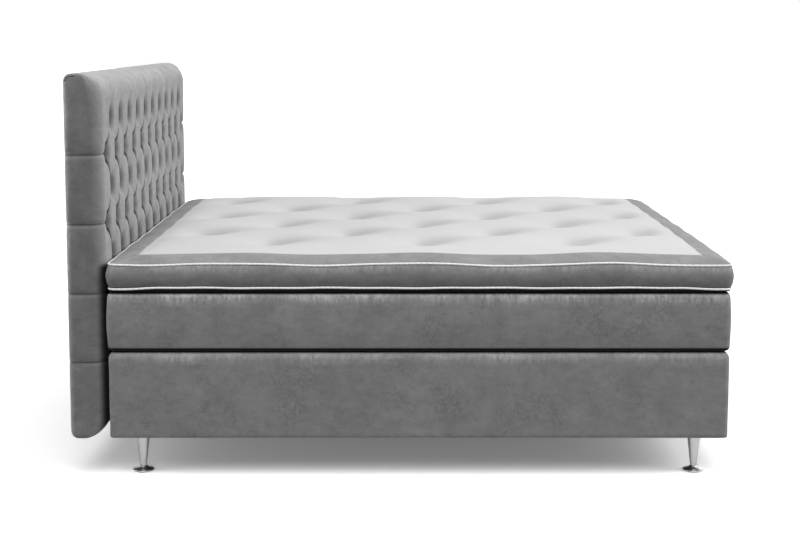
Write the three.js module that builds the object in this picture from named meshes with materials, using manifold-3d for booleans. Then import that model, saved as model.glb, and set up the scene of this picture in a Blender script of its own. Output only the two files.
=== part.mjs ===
// A box spring bed, 180 x 200 cm: an upholstered sprung base on six legs, a pocket sprung
// mattress, a tufted topper with piped edges and a deep buttoned headboard.
// Millimetres, +Z up. X runs from the headboard (-X) to the foot end (+X), Y across the bed.
// The origin is on the floor, under the middle of the whole bed.

import * as THREE from 'three';
import { mergeVertices } from 'three/addons/utils/BufferGeometryUtils.js';
import Module from 'manifold-3d';

const wasm = await Module();
wasm.setup();

// Driving dimensions of the whole bed
const bedLength = 2000;
const bedWidth = 1800;
const legHeight = 133; // floor to the underside of the base
const baseHeight = 284;
const mattressHeight = 194.7;
const headboardHeight = 1177;
const headboardThick = 121;
const headboardDrop = 2; // the headboard hangs this much below the base
const headboardGap = 5; // between the headboard's padding and the base
const footOverhang = 6; // the topper reaches past the base at the foot end
const fitGap = 0.3; // between pieces that touch
const holeClearance = 0.3; // round a bolt or stud
const cutOverrun = 5; // a cutter passes this far through a face
const sameShare = 1e-6; // points nearer than this are one point

const overallLength = headboardThick + headboardGap + bedLength + footOverhang;
const headboardBackX = -overallLength / 2;
const bedHeadX = headboardBackX + headboardThick + headboardGap;
const bedCentreX = bedHeadX + bedLength / 2;
const baseTopZ = legHeight + baseHeight;
const mattressBottomZ = baseTopZ + fitGap;
const topperBottomZ = mattressBottomZ + mattressHeight + fitGap;
const headboardBottomZ = legHeight - headboardDrop;

// Upholstery that the base and the mattress share
const cover = {
  thick: 3, // velvet with its backing
  hemThick: 2,
  hemReach: 40, // turned under at the bottom
  topReach: 92, // runs in over the top, up to the top panel
  cornerRadius: 20, // in plan
  tightCorner: 1, // in plan, where a ring is drawn in past the corner radius
};
const steps = { corner: 4, edge: 4, side: 4, round: 16, backEdge: 2 };

// Legs
const leg = {
  inset: 93, // from the base's end and side to the leg's axis
  topRadius: 24,
  bottomRadius: 11,
  topEase: 1,
  studRadius: 5,
  studLength: 24,
  studChamfer: 1,
};
const foot = { radius: 35, height: 14, rim: 1.6, flare: 16, flareHeight: 6, rise: 3 };
const glide = { radius: 31, height: 3, ease: 0.8 };
const insert = { radius: 7.5, length: 22 };
const centreLeg = {
  radius: 22,
  neck: 17,
  footRadius: 25,
  footHeight: 8,
  waistShare: 0.5,
  spreadShare: 1 / 6, // of the bed's length, from its middle
};

// Timber of the base
const timber = {
  thick: 28,
  height: 130,
  ease: 3,
  blockReach: 107,
  blockChamfer: 36,
  centreBlock: 80,
  centreBlockWide: 74,
};
const sidePad = { thick: 10, shoulder: 5, rise: 10 };
const topPad = { roundHeight: 10, roundReach: 20 };
const slat = { count: 11, width: 90, thick: 18, strapWidth: 40, strapThick: 2, strapShare: 0.5 };
const dustCloth = { thick: 1.7 };
const springUnit = { pitch: 62, lobeSteps: 3, lobeDepth: 9, baseHeight: 105 };

// Mattress
const mattress = { bulge: 4, edgeRadius: 25, bottomRadius: 5, wall: 58, topFoam: 32, roundShare: 1 / 3 };
const baseEdgeRadius = 27;
const baseBottomRadius = 3;
const panelThick = 3;

// Topper
const topper = {
  shorter: 4, // than the base
  bulge: 5,
  pipingRadius: 5,
  pipingSides: 8,
  bottomPipingZ: 7.7,
  topPipingZ: 87.7,
  cornerRadius: 24,
  bandThick: 5,
  borderInset: 84, // piping to the white panel
  borderEdgeZ: 110.7, // top face where the border meets the panel
  borderThick: 7,
  borderCrown: 3,
  panelRest: 92, // the panel's flat underside
  panelRise: 16, // its crown over its edge
  riseReach: 170,
  tuftDepth: 15,
  tuftReach: 58,
  tuftRowPitch: 237,
  tuftPitch: 514,
  gridPerPitch: 8,
  gridPerRow: 4,
};
const topperLength = bedLength - topper.shorter;

// Headboard, from its back face forward
const headboard = {
  backCloth: 2,
  frameThick: 30,
  frameWide: 70,
  boardThick: 9,
  foamThick: 35,
  edgeWall: 18, // padding round the board's edges
  frontRadius: 75,
  backRadius: 28,
  endRadius: 47,
  endBackRadius: 25,
  endBackEase: 12,
  columnPitch: 80, // half of the button pitch in a row
  rowPitch: 111.5,
  rows: 9,
  firstRowZ: 138, // lowest row of buttons above the headboard's underside
  buttonDepth: 30,
  creaseDepth: 13,
  endPinch: 4.5,
  endFieldReach: 26, // outside the last column the tufts run out
  endFieldShare: 1 / 3,
  topPleat: 4, // pleats that run on from the outer rows, round the top and bottom edges
  buttonSharpness: 3,
  crossbarWide: 90,
};
const bolt = {
  radius: 5,
  headRadius: 9,
  headHeight: 6,
  headSides: 6,
  washerRadius: 13,
  washerThick: 2,
  spread: 480,
  height: 87, // above the underside of the base
};

// Materials

function finish(colour, roughness, metalness = 0) {
  return new THREE.MeshStandardMaterial({ color: colour, roughness, metalness });
}
const velvet = () => finish('#777777', 0.75);
const ticking = () => finish('#e2e2e2', 0.75);
const pipingCord = () => finish('#f2f2f2', 0.75);
const chrome = () => finish('#c8c8c8', 0.1, 1);
const zincSteel = () => finish('#9b9d9f', 0.4, 1);
const pine = () => finish('#d3b383', 0.75);
const plywood = () => finish('#b9925f', 0.75);
const foam = () => finish('#e8e2c8', 0.75);
const fleece = () => finish('#ededed', 0.75);
const backingCloth = () => finish('#3a3a3a', 0.75);
const blackPlastic = () => finish('#2b2b2b', 0.4);

// Geometry helpers

// Welds a list of triangles into one closed geometry whose faces point out
function closedGeometry(triangles) {
  const positions = new Float32Array(triangles.flat(2));
  const loose = new THREE.BufferGeometry();
  loose.setAttribute('position', new THREE.BufferAttribute(positions, 3));
  const geometry = mergeVertices(loose);
  if (signedVolume(geometry) < 0) {
    const index = geometry.index.array;
    for (let i = 0; i < index.length; i += 3) {
      [index[i + 1], index[i + 2]] = [index[i + 2], index[i + 1]];
    }
  }
  geometry.computeVertexNormals();
  return geometry;
}

function signedVolume(geometry) {
  const point = geometry.attributes.position;
  const index = geometry.index.array;
  const [a, b, c] = [new THREE.Vector3(), new THREE.Vector3(), new THREE.Vector3()];
  let volume = 0;
  for (let i = 0; i < index.length; i += 3) {
    a.fromBufferAttribute(point, index[i]);
    b.fromBufferAttribute(point, index[i + 1]);
    c.fromBufferAttribute(point, index[i + 2]);
    volume += a.dot(b.cross(c));
  }
  return volume;
}

function toSolid(geometry) {
  const bare = new THREE.BufferGeometry();
  bare.setAttribute('position', geometry.attributes.position.clone());
  if (geometry.index) bare.setIndex(geometry.index.clone());
  const welded = mergeVertices(bare);
  return new wasm.Manifold(new wasm.Mesh({
    numProp: 3,
    vertProperties: new Float32Array(welded.attributes.position.array),
    triVerts: new Uint32Array(welded.index.array),
  }));
}

function fromSolid(solid) {
  const mesh = solid.getMesh();
  const geometry = new THREE.BufferGeometry();
  geometry.setAttribute('position', new THREE.BufferAttribute(mesh.vertProperties, 3));
  geometry.setIndex(new THREE.BufferAttribute(mesh.triVerts, 1));
  geometry.computeVertexNormals();
  return geometry;
}

function cut(geometry, ...cutters) {
  let solid = toSolid(geometry);
  for (const cutter of cutters) solid = solid.subtract(toSolid(cutter));
  return fromSolid(solid);
}

function join(geometry, ...others) {
  let solid = toSolid(geometry);
  for (const other of others) solid = solid.add(toSolid(other));
  return fromSolid(solid);
}

// A box given by its lowest and highest corners
function boxBetween(low, high) {
  const size = high.map((value, axis) => value - low[axis]);
  const geometry = new THREE.BoxGeometry(...size);
  geometry.translate(...low.map((value, axis) => value + size[axis] / 2));
  return geometry;
}

// A rod along an axis, from one point on
function rodAlongX(radius, fromX, toX, y, z, sides = steps.round) {
  const geometry = new THREE.CylinderGeometry(radius, radius, toX - fromX, sides);
  geometry.rotateZ(-Math.PI / 2);
  geometry.translate((fromX + toX) / 2, y, z);
  return geometry;
}

function rodAlongZ(radius, fromZ, toZ, x, y, sides = steps.round) {
  const geometry = new THREE.CylinderGeometry(radius, radius, toZ - fromZ, sides);
  geometry.rotateX(Math.PI / 2);
  geometry.translate(x, y, (fromZ + toZ) / 2);
  return geometry;
}

// A turned piece: a profile of [radius, z] points that starts and ends on the axis
function turned(profile, sides = steps.round) {
  const geometry = new THREE.LatheGeometry(profile.map(([r, z]) => new THREE.Vector2(r, z)), sides);
  geometry.rotateX(Math.PI / 2);
  return closedGeometry(trianglesOf(geometry));
}

function trianglesOf(geometry) {
  const flat = geometry.index ? geometry.toNonIndexed() : geometry;
  const point = flat.attributes.position;
  const triangles = [];
  for (let i = 0; i < point.count; i += 3) {
    const corners = [0, 1, 2].map((k) => [point.getX(i + k), point.getY(i + k), point.getZ(i + k)]);
    if (!isThin(corners)) triangles.push(corners);
  }
  return triangles;
}

// True for a triangle with two corners in one place, as at a lathe's pole
function isThin(corners) {
  const same = (a, b) => a.every((value, axis) => Math.abs(value - b[axis]) < sameShare);
  return same(corners[0], corners[1]) || same(corners[1], corners[2]) || same(corners[2], corners[0]);
}

// A bar of timber along X with eased long edges, centred on its length and width, base at z = 0
function easedBar(length, width, height, ease = timber.ease) {
  const section = new THREE.Shape();
  section.moveTo(-width / 2 + ease, 0);
  section.lineTo(width / 2 - ease, 0);
  section.lineTo(width / 2, ease);
  section.lineTo(width / 2, height - ease);
  section.lineTo(width / 2 - ease, height);
  section.lineTo(-width / 2 + ease, height);
  section.lineTo(-width / 2, height - ease);
  section.lineTo(-width / 2, ease);
  const geometry = new THREE.ExtrudeGeometry(section, { depth: length, bevelEnabled: false });
  geometry.rotateX(Math.PI / 2);
  geometry.rotateZ(Math.PI / 2);
  geometry.translate(-length / 2, 0, 0);
  return closedGeometry(trianglesOf(geometry));
}

// One ring of points round a rectangle with round corners, drawn in by an inset, at a height
function outlineRing(outline, [inset, z, cornerRadius]) {
  const halfX = outline.length / 2 - inset;
  const halfY = outline.width / 2 - inset;
  const radius = cornerRadius ?? Math.max(outline.radius - inset, cover.tightCorner);
  const corners = [[1, 1, 0], [-1, 1, 1], [-1, -1, 2], [1, -1, 3]];
  const ring = [];
  for (const [signX, signY, quarter] of corners) {
    for (let step = 0; step <= steps.corner; step += 1) {
      const angle = (quarter + step / steps.corner) * Math.PI / 2;
      const x = signX * (halfX - radius) + radius * Math.cos(angle);
      const y = signY * (halfY - radius) + radius * Math.sin(angle);
      ring.push([x, y, z]);
    }
  }
  return ring;
}

function stitch(triangles, ringA, ringB) {
  const count = ringA.length;
  for (let i = 0; i < count; i += 1) {
    const next = (i + 1) % count;
    triangles.push([ringA[i], ringA[next], ringB[next]]);
    triangles.push([ringA[i], ringB[next], ringB[i]]);
  }
}

// A band carried round an outline: a closed section of [inset, z] points, each with its own
// corner radius in plan where that isn't the outline's
function bandGeometry(outline, section) {
  const rings = section.map((point) => outlineRing(outline, point));
  const triangles = [];
  rings.forEach((ring, i) => stitch(triangles, ring, rings[(i + 1) % rings.length]));
  return closedGeometry(triangles);
}

// A slab of an outline: [inset, z] levels from its underside up, with flat ends
function slabGeometry(outline, levels) {
  const rings = levels.map((level) => outlineRing(outline, level));
  const triangles = [];
  for (let i = 0; i + 1 < rings.length; i += 1) stitch(triangles, rings[i], rings[i + 1]);
  for (const [ring, turn] of [[rings[0], -1], [rings[rings.length - 1], 1]]) {
    for (let i = 1; i + 1 < ring.length; i += 1) {
      triangles.push(turn > 0 ? [ring[0], ring[i], ring[i + 1]] : [ring[0], ring[i + 1], ring[i]]);
    }
  }
  return closedGeometry(triangles);
}

// Points of a quarter round from the side face in to the top face, in [inset, z]
function edgeArc(radius, topZ, drawIn = 0) {
  const points = [];
  for (let step = 0; step <= steps.edge; step += 1) {
    const angle = step / steps.edge * Math.PI / 2;
    const inset = radius - (radius - drawIn) * Math.cos(angle);
    const z = topZ - radius + (radius - drawIn) * Math.sin(angle);
    points.push([inset, z]);
  }
  return points;
}

// The velvet round a mattress or base: hem, side with its bulge, round top edge, strip on top
function upholstery(outline, height, edgeRadius, bottomRadius, bulge) {
  const section = [[cover.hemReach, 0], [bottomRadius, 0], [0, bottomRadius]];
  const sideLow = bottomRadius;
  const sideHigh = height - edgeRadius;
  for (let step = 1; step < steps.side && bulge > 0; step += 1) {
    const along = step / steps.side;
    section.push([-bulge * Math.sin(along * Math.PI), sideLow + along * (sideHigh - sideLow)]);
  }
  section.push(...edgeArc(edgeRadius, height));
  section.push([cover.topReach, height], [cover.topReach, height - cover.thick]);
  section.push(...edgeArc(edgeRadius, height, cover.thick).reverse());
  section.push([cover.thick, cover.hemThick + bottomRadius], [cover.thick + bottomRadius, cover.hemThick]);
  section.push([cover.hemReach, cover.hemThick]);
  return bandGeometry(outline, section);
}

function piece(name, geometry, material, position = [0, 0, 0]) {
  const mesh = new THREE.Mesh(geometry, material);
  mesh.name = name;
  mesh.position.set(...position);
  return mesh;
}

// Legs, in the base's frame: origin at the bed's middle, on the floor

const cornerPlaces = [
  ['head_left', -1, -1], ['head_right', -1, 1], ['foot_left', 1, -1], ['foot_right', 1, 1],
].map(([name, signX, signY]) => ({
  name,
  x: signX * (bedLength / 2 - leg.inset),
  y: signY * (bedWidth / 2 - leg.inset),
  signX,
  signY,
}));
const centrePlaces = [['centre_head', -1], ['centre_foot', 1]].map(([name, signX]) => ({
  name,
  x: signX * bedLength * centreLeg.spreadShare,
  y: 0,
}));
const clothBottomZ = legHeight + fitGap;
const timberBottomZ = legHeight + cover.hemThick + fitGap;
const footTopZ = glide.height + fitGap + foot.height;
const legBottomZ = footTopZ + fitGap;

function coneLeg() {
  const top = legHeight - legBottomZ;
  return turned([
    [0, 0], [leg.bottomRadius, 0], [leg.topRadius, top - leg.topEase],
    [leg.topRadius - leg.topEase, top], [leg.studRadius, top],
    [leg.studRadius, top + leg.studLength - leg.studChamfer],
    [leg.studRadius - leg.studChamfer, top + leg.studLength], [0, top + leg.studLength],
  ]);
}

// The foot disc is a low flared cone under the leg
function footDisc() {
  return turned([
    [0, 0], [foot.radius - foot.rim, 0], [foot.radius, foot.rim], [foot.radius - foot.rim, foot.rise],
    [foot.flare, foot.rise + foot.flareHeight], [leg.bottomRadius, foot.height], [0, foot.height],
  ]);
}

function glidePad() {
  return turned([
    [0, 0], [glide.radius - glide.ease, 0], [glide.radius, glide.ease],
    [glide.radius, glide.height], [0, glide.height],
  ]);
}

// The plain support leg under the middle of the base
function supportLeg() {
  const top = legHeight;
  const waistZ = centreLeg.footHeight + (top - centreLeg.footHeight) * centreLeg.waistShare;
  return turned([
    [0, 0], [centreLeg.footRadius, 0], [centreLeg.footRadius, centreLeg.footHeight],
    [centreLeg.neck, waistZ], [centreLeg.radius, top], [leg.studRadius, top],
    [leg.studRadius, top + leg.studLength - leg.studChamfer],
    [leg.studRadius - leg.studChamfer, top + leg.studLength], [0, top + leg.studLength],
  ]);
}

// The threaded insert that takes a leg's stud
function threadedInsert() {
  const bore = leg.studRadius + holeClearance;
  const ring = new THREE.Shape().absarc(0, 0, insert.radius, 0, Math.PI * 2);
  ring.holes.push(new THREE.Path().absarc(0, 0, bore, 0, Math.PI * 2));
  const geometry = new THREE.ExtrudeGeometry(ring, {
    depth: insert.length,
    bevelEnabled: false,
    curveSegments: steps.round / 2,
  });
  return closedGeometry(trianglesOf(geometry));
}

function legPieces() {
  const pieces = [];
  for (const { name, x, y } of cornerPlaces) {
    pieces.push(piece(`leg_${name}`, coneLeg(), chrome(), [x, y, legBottomZ]));
    pieces.push(piece(`foot_disc_${name}`, footDisc(), chrome(), [x, y, glide.height + fitGap]));
    pieces.push(piece(`glide_pad_${name}`, glidePad(), blackPlastic(), [x, y, 0]));
  }
  for (const { name, x, y } of centrePlaces) {
    pieces.push(piece(`leg_${name}`, supportLeg(), blackPlastic(), [x, y, 0]));
  }
  for (const { name, x, y } of [...cornerPlaces, ...centrePlaces]) {
    pieces.push(piece(`threaded_insert_${name}`, threadedInsert(), zincSteel(), [x, y, timberBottomZ]));
  }
  return pieces;
}

// Base: timber frame, slats, springs, padding and covers

const baseOutline = { length: bedLength, width: bedWidth, radius: cover.cornerRadius };
const frameInset = cover.thick + sidePad.thick + 2 * fitGap;
const frameLength = bedLength - 2 * frameInset;
const frameWidth = bedWidth - 2 * frameInset;
const slatBottomZ = timberBottomZ + timber.height + fitGap;
const springBottomZ = slatBottomZ + slat.thick + slat.strapThick / 2 + fitGap;
const basePadBottomZ = springBottomZ + springUnit.baseHeight + fitGap;
const basePanelBottomZ = baseTopZ - panelThick;
const boltZ = legHeight + bolt.height;
const boltPlaces = [['left', -bolt.spread], ['right', bolt.spread]];

function boltHole(fromX, toX, y, z) {
  return rodAlongX(bolt.radius + holeClearance, fromX, toX, y, z);
}

// Holes along X at both bolts, in the base's frame
function baseBoltHoles(reach) {
  const from = -bedLength / 2 - cutOverrun;
  return boltPlaces.map(([, y]) => boltHole(from, -bedLength / 2 + reach + cutOverrun, y, boltZ));
}

function sideRail() {
  return easedBar(frameLength, timber.thick, timber.height);
}

function endRail() {
  const bar = easedBar(frameWidth - 2 * (timber.thick + fitGap), timber.thick, timber.height);
  bar.rotateZ(Math.PI / 2);
  return bar;
}

// The head rail has the two bolt holes of the headboard
function headRail(x) {
  const bar = endRail();
  bar.translate(x, 0, timberBottomZ);
  return cut(bar, ...baseBoltHoles(frameInset + timber.thick));
}

// The centre rail widens into glued blocks over the two support legs
function centreRail() {
  const length = frameLength - 2 * (timber.thick + fitGap);
  const rail = easedBar(length, timber.thick, timber.height);
  const parts = centrePlaces.map(({ x }) => {
    const block = easedBar(timber.centreBlock, timber.centreBlockWide, timber.height);
    block.translate(x, 0, 0);
    return block;
  });
  const holes = centrePlaces.map(({ x, y }) => insertHole(x, y, 0));
  return cut(join(rail, ...parts), ...holes);
}

function insertHole(x, y, fromZ) {
  const deep = Math.max(insert.length, leg.studLength) + cutOverrun;
  return rodAlongZ(insert.radius + holeClearance, fromZ - cutOverrun, fromZ + deep, x, y);
}

// A glued block in each corner of the frame, with the hole of its threaded insert
function cornerBlock({ signX, signY }) {
  const innerX = frameLength / 2 - timber.thick - fitGap;
  const innerY = frameWidth / 2 - timber.thick - fitGap;
  const centreX = bedLength / 2 - leg.inset;
  const centreY = bedWidth / 2 - leg.inset;
  const outline = new THREE.Shape();
  const [x0, x1] = [innerX - timber.blockReach, innerX];
  const [y0, y1] = [innerY - timber.blockReach, innerY];
  outline.moveTo(x1, y0);
  outline.lineTo(x1, y1);
  outline.lineTo(x0, y1);
  outline.lineTo(x0, y0 + timber.blockChamfer);
  outline.lineTo(x0 + timber.blockChamfer, y0);
  const geometry = new THREE.ExtrudeGeometry(outline, { depth: timber.height, bevelEnabled: false });
  const block = closedGeometry(trianglesOf(geometry));
  const drilled = cut(block, insertHole(centreX, centreY, 0));
  return mirrored(drilled, signX, signY);
}

function mirrored(geometry, signX, signY) {
  const triangles = trianglesOf(geometry);
  return closedGeometry(triangles.map((corners) => corners.map(([x, y, z]) => [signX * x, signY * y, z])));
}

// The roll-out slats: boards across the frame, held at one spacing by two straps
function slatDeck() {
  const length = frameWidth;
  const span = frameLength - slat.width;
  const boards = [];
  for (let i = 0; i < slat.count; i += 1) {
    const board = easedBar(length, slat.width, slat.thick, slat.strapThick);
    board.rotateZ(Math.PI / 2);
    board.translate(-span / 2 + i * span / (slat.count - 1), 0, 0);
    boards.push(board);
  }
  const straps = [-1, 1].map((side) => {
    const y = side * length / 2 * slat.strapShare;
    const low = [-span / 2, y - slat.strapWidth / 2, slat.thick - slat.strapThick / 2];
    return boxBetween(low, [span / 2, y + slat.strapWidth / 2, slat.thick + slat.strapThick / 2]);
  });
  return join(boards[0], ...boards.slice(1), ...straps);
}

// A block of pocket springs: an outline scalloped by the round pockets of its outer rows
function pocketSprings(length, width, height) {
  const shape = new THREE.Shape();
  const sides = [
    [-length / 2, -width / 2, 1, 0, length], [length / 2, -width / 2, 0, 1, width],
    [length / 2, width / 2, -1, 0, length], [-length / 2, width / 2, 0, -1, width],
  ];
  shape.moveTo(-length / 2, -width / 2);
  for (const [startX, startY, alongX, alongY, run] of sides) {
    const pockets = Math.round(run / springUnit.pitch);
    const stepCount = pockets * springUnit.lobeSteps;
    for (let step = 1; step <= stepCount; step += 1) {
      const along = run * step / stepCount;
      const round = 1 - Math.abs(Math.sin(Math.PI * step / springUnit.lobeSteps));
      const inward = springUnit.lobeDepth * round * (step < stepCount ? 1 : 0);
      shape.lineTo(startX + alongX * along - alongY * inward, startY + alongY * along + alongX * inward);
    }
  }
  const geometry = new THREE.ExtrudeGeometry(shape, { depth: height, bevelEnabled: false });
  return closedGeometry(trianglesOf(geometry));
}

// Foam along the frame's sides, under the velvet, up to the top edge's round
function baseSidePadding() {
  const inner = frameInset - fitGap;
  const outer = cover.thick + fitGap;
  const low = timberBottomZ + baseBottomRadius;
  const shoulder = baseTopZ - baseEdgeRadius;
  const high = basePadBottomZ + sidePad.rise;
  const square = cover.tightCorner;
  const section = [[inner, low, square], [outer + baseBottomRadius, low], [outer, low + baseBottomRadius]];
  section.push([outer, shoulder], [outer + sidePad.shoulder, high], [inner, high, square]);
  return cut(bandGeometry(baseOutline, section), ...baseBoltHoles(frameInset));
}

// The pad over the springs, with the top edge's round
function baseTopPad() {
  const high = basePanelBottomZ - fitGap;
  const inset = frameInset;
  return slabGeometry(baseOutline, [
    [inset, basePadBottomZ], [inset, high - topPad.roundHeight], [inset + topPad.roundReach, high],
  ]);
}

function baseCover() {
  const geometry = upholstery(baseOutline, baseHeight, baseEdgeRadius, baseBottomRadius, 0);
  geometry.translate(0, 0, legHeight);
  return cut(geometry, ...baseBoltHoles(cover.thick));
}

function topPanel(topZ) {
  const inset = cover.topReach + fitGap;
  return slabGeometry(baseOutline, [[inset, topZ - panelThick], [inset, topZ]]);
}

// The cloth under the base, with a hole for each leg's stud
function dustCover() {
  const inset = cover.hemReach + fitGap;
  const levels = [[inset, clothBottomZ], [inset, clothBottomZ + dustCloth.thick]];
  const holes = [...cornerPlaces, ...centrePlaces].map(({ x, y }) => rodAlongZ(
    leg.studRadius + holeClearance,
    clothBottomZ - cutOverrun,
    clothBottomZ + dustCloth.thick + cutOverrun,
    x,
    y,
  ));
  return cut(slabGeometry(baseOutline, levels), ...holes);
}

function basePieces() {
  const railY = frameWidth / 2 - timber.thick / 2;
  const railX = frameLength / 2 - timber.thick / 2;
  const pieces = [
    piece('side_rail_left', sideRail(), pine(), [0, -railY, timberBottomZ]),
    piece('side_rail_right', sideRail(), pine(), [0, railY, timberBottomZ]),
    piece('head_rail', headRail(-railX), pine()),
    piece('foot_rail', endRail(), pine(), [railX, 0, timberBottomZ]),
    piece('centre_rail', centreRail(), pine(), [0, 0, timberBottomZ]),
  ];
  for (const place of cornerPlaces) {
    pieces.push(piece(`corner_block_${place.name}`, cornerBlock(place), pine(), [0, 0, timberBottomZ]));
  }
  const springs = pocketSprings(frameLength, frameWidth, springUnit.baseHeight);
  pieces.push(
    piece('slat_deck', slatDeck(), pine(), [0, 0, slatBottomZ]),
    piece('base_spring_unit', springs, fleece(), [0, 0, springBottomZ]),
    piece('base_side_padding', baseSidePadding(), foam()),
    piece('base_top_pad', baseTopPad(), foam()),
    piece('base_cover', baseCover(), velvet()),
    piece('base_top_panel', topPanel(baseTopZ), ticking()),
    piece('dust_cover', dustCover(), backingCloth()),
  );
  return pieces;
}

// Mattress, in its own frame: origin at the bed's middle, on its underside

function mattressPieces() {
  const coreInset = cover.thick + fitGap;
  const bottom = panelThick + fitGap;
  const panelBottom = mattressHeight - panelThick;
  const foamTopZ = panelBottom - fitGap;
  const foamBottomZ = foamTopZ - mattress.topFoam;
  const edge = mattress.edgeRadius - cover.thick;
  const low = Math.max(bottom, cover.hemThick + mattress.bottomRadius + fitGap);
  const casing = bandGeometry(baseOutline, [
    [mattress.wall, low], [coreInset + mattress.bottomRadius, low], [coreInset, low + mattress.bottomRadius],
    [coreInset, foamBottomZ - fitGap], [mattress.wall, foamBottomZ - fitGap],
  ]);
  const ease = edge * mattress.roundShare;
  const topFoam = slabGeometry(baseOutline, [
    [coreInset, foamBottomZ], [coreInset, foamTopZ - edge], [coreInset + ease, foamTopZ - ease],
    [coreInset + edge, foamTopZ],
  ]);
  const springInset = mattress.wall + fitGap;
  const springs = pocketSprings(
    bedLength - 2 * springInset,
    bedWidth - 2 * springInset,
    foamBottomZ - fitGap - low,
  );
  const underside = cover.hemReach + fitGap;
  const bottomCloth = slabGeometry(baseOutline, [[underside, 0], [underside, low - fitGap]]);
  const velvetCover = upholstery(
    baseOutline,
    mattressHeight,
    mattress.edgeRadius,
    mattress.bottomRadius,
    mattress.bulge,
  );
  return [
    piece('mattress_cover', velvetCover, velvet()),
    piece('mattress_top_panel', topPanel(mattressHeight), ticking()),
    piece('mattress_underside', bottomCloth, backingCloth()),
    piece('mattress_edge_foam', casing, foam()),
    piece('mattress_top_foam', topFoam, foam()),
    piece('mattress_spring_unit', springs, fleece(), [0, 0, low]),
  ];
}

// Topper, in its own frame: origin at its middle, on its underside

const topperOutline = { length: topperLength, width: bedWidth, radius: topper.cornerRadius };
const tufts = topperTufts();

// Tufts stand in rows along the bed. Rows of three and rows of four take turns
function topperTufts() {
  const places = [];
  const rowCount = Math.floor(bedWidth / topper.tuftRowPitch) - 1;
  const reach = topperLength / 2 - topper.borderInset - topper.tuftReach;
  const side = Math.ceil(reach / topper.tuftPitch);
  for (let row = 0; row < rowCount; row += 1) {
    const y = (row - (rowCount - 1) / 2) * topper.tuftRowPitch;
    const shift = row % 2 ? topper.tuftPitch / 2 : 0;
    for (let place = -side; place <= side; place += 1) {
      const x = shift + place * topper.tuftPitch;
      if (Math.abs(x) < reach) places.push([x, y]);
    }
  }
  return places;
}

// The panel's crown, drawn down at each tuft
function panelTop(x, y, halfX, halfY) {
  const toEdge = Math.min(halfX - Math.abs(x), halfY - Math.abs(y));
  const share = Math.min(toEdge / topper.riseReach, 1);
  let z = topper.borderEdgeZ + topper.panelRise * Math.sin(share * Math.PI / 2);
  for (const [tuftX, tuftY] of tufts) {
    const away = ((x - tuftX) ** 2 + (y - tuftY) ** 2) / topper.tuftReach ** 2;
    z -= topper.tuftDepth * Math.exp(-away);
  }
  return z;
}

// Grid lines at even steps from the middle, with a last line on the edge itself
const gridEdgeShare = 0.25; // the last even line keeps this share of a step to the edge

function gridLines(half, step, offset) {
  const lines = [-half, half];
  const clear = half - step * gridEdgeShare;
  for (let at = offset; at < clear; at += step) lines.push(at);
  for (let at = offset - step; at > -clear; at -= step) lines.push(at);
  return lines.sort((a, b) => a - b);
}

function topperPanel() {
  const inset = topper.borderInset + fitGap;
  const halfX = topperLength / 2 - inset;
  const halfY = bedWidth / 2 - inset;
  const linesX = gridLines(halfX, topper.tuftPitch / topper.gridPerPitch, 0);
  const linesY = gridLines(halfY, topper.tuftRowPitch / topper.gridPerRow, topper.tuftRowPitch / 2);
  const at = (i, j) => [linesX[i], linesY[j], panelTop(linesX[i], linesY[j], halfX, halfY)];
  const [lastI, lastJ] = [linesX.length - 1, linesY.length - 1];
  const triangles = [];
  for (let i = 0; i < lastI; i += 1) {
    for (let j = 0; j < lastJ; j += 1) {
      triangles.push([at(i, j), at(i + 1, j), at(i + 1, j + 1)]);
      triangles.push([at(i, j), at(i + 1, j + 1), at(i, j + 1)]);
    }
  }
  const rim = [];
  for (let i = 0; i < lastI; i += 1) rim.push(at(i, 0));
  for (let j = 0; j < lastJ; j += 1) rim.push(at(lastI, j));
  for (let i = lastI; i > 0; i -= 1) rim.push(at(i, lastJ));
  for (let j = lastJ; j > 0; j -= 1) rim.push(at(0, j));
  const low = rim.map(([x, y]) => [x, y, topper.panelRest]);
  stitch(triangles, low, rim);
  const middle = [0, 0, topper.panelRest];
  low.forEach((point, i) => triangles.push([middle, low[(i + 1) % low.length], point]));
  return closedGeometry(triangles);
}

function piping(z) {
  const section = [];
  for (let side = 0; side < topper.pipingSides; side += 1) {
    const angle = side / topper.pipingSides * Math.PI * 2;
    section.push([topper.pipingRadius * Math.cos(angle), z + topper.pipingRadius * Math.sin(angle)]);
  }
  return bandGeometry(topperOutline, section);
}

// The velvet band between the two pipings, with its bulge
function topperBand() {
  const clear = topper.pipingRadius + fitGap;
  const [low, high] = [topper.bottomPipingZ + clear, topper.topPipingZ - clear];
  const section = [];
  for (let step = 0; step <= steps.side; step += 1) {
    const along = step / steps.side;
    section.push([-topper.bulge * Math.sin(along * Math.PI), low + along * (high - low)]);
  }
  section.push([topper.bandThick, high], [topper.bandThick, low]);
  return bandGeometry(topperOutline, section);
}

// The velvet border that slopes up from the top piping to the panel
const borderStart = topper.pipingRadius + fitGap;

function topperBorder() {
  const [low, high] = [topper.topPipingZ + topper.pipingRadius, topper.borderEdgeZ];
  const section = [[borderStart, topper.topPipingZ]];
  for (let step = 0; step <= steps.side; step += 1) {
    const along = step / steps.side;
    const inset = borderStart + along * (topper.borderInset - borderStart);
    section.push([inset, low + along * (high - low) + topper.borderCrown * Math.sin(along * Math.PI)]);
  }
  section.push([topper.borderInset, high - topper.borderThick]);
  return bandGeometry(topperOutline, section);
}

// Foam in the topper: a flat bed for the panel inside a rim that slopes up under the border
function topperCore() {
  const rimTop = topper.borderEdgeZ - topper.borderThick - fitGap;
  return slabGeometry(topperOutline, [
    [borderStart, panelThick + fitGap], [borderStart, topper.topPipingZ - fitGap],
    [topper.borderInset, rimTop], [topper.borderInset, topper.panelRest - fitGap],
  ]);
}

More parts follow.
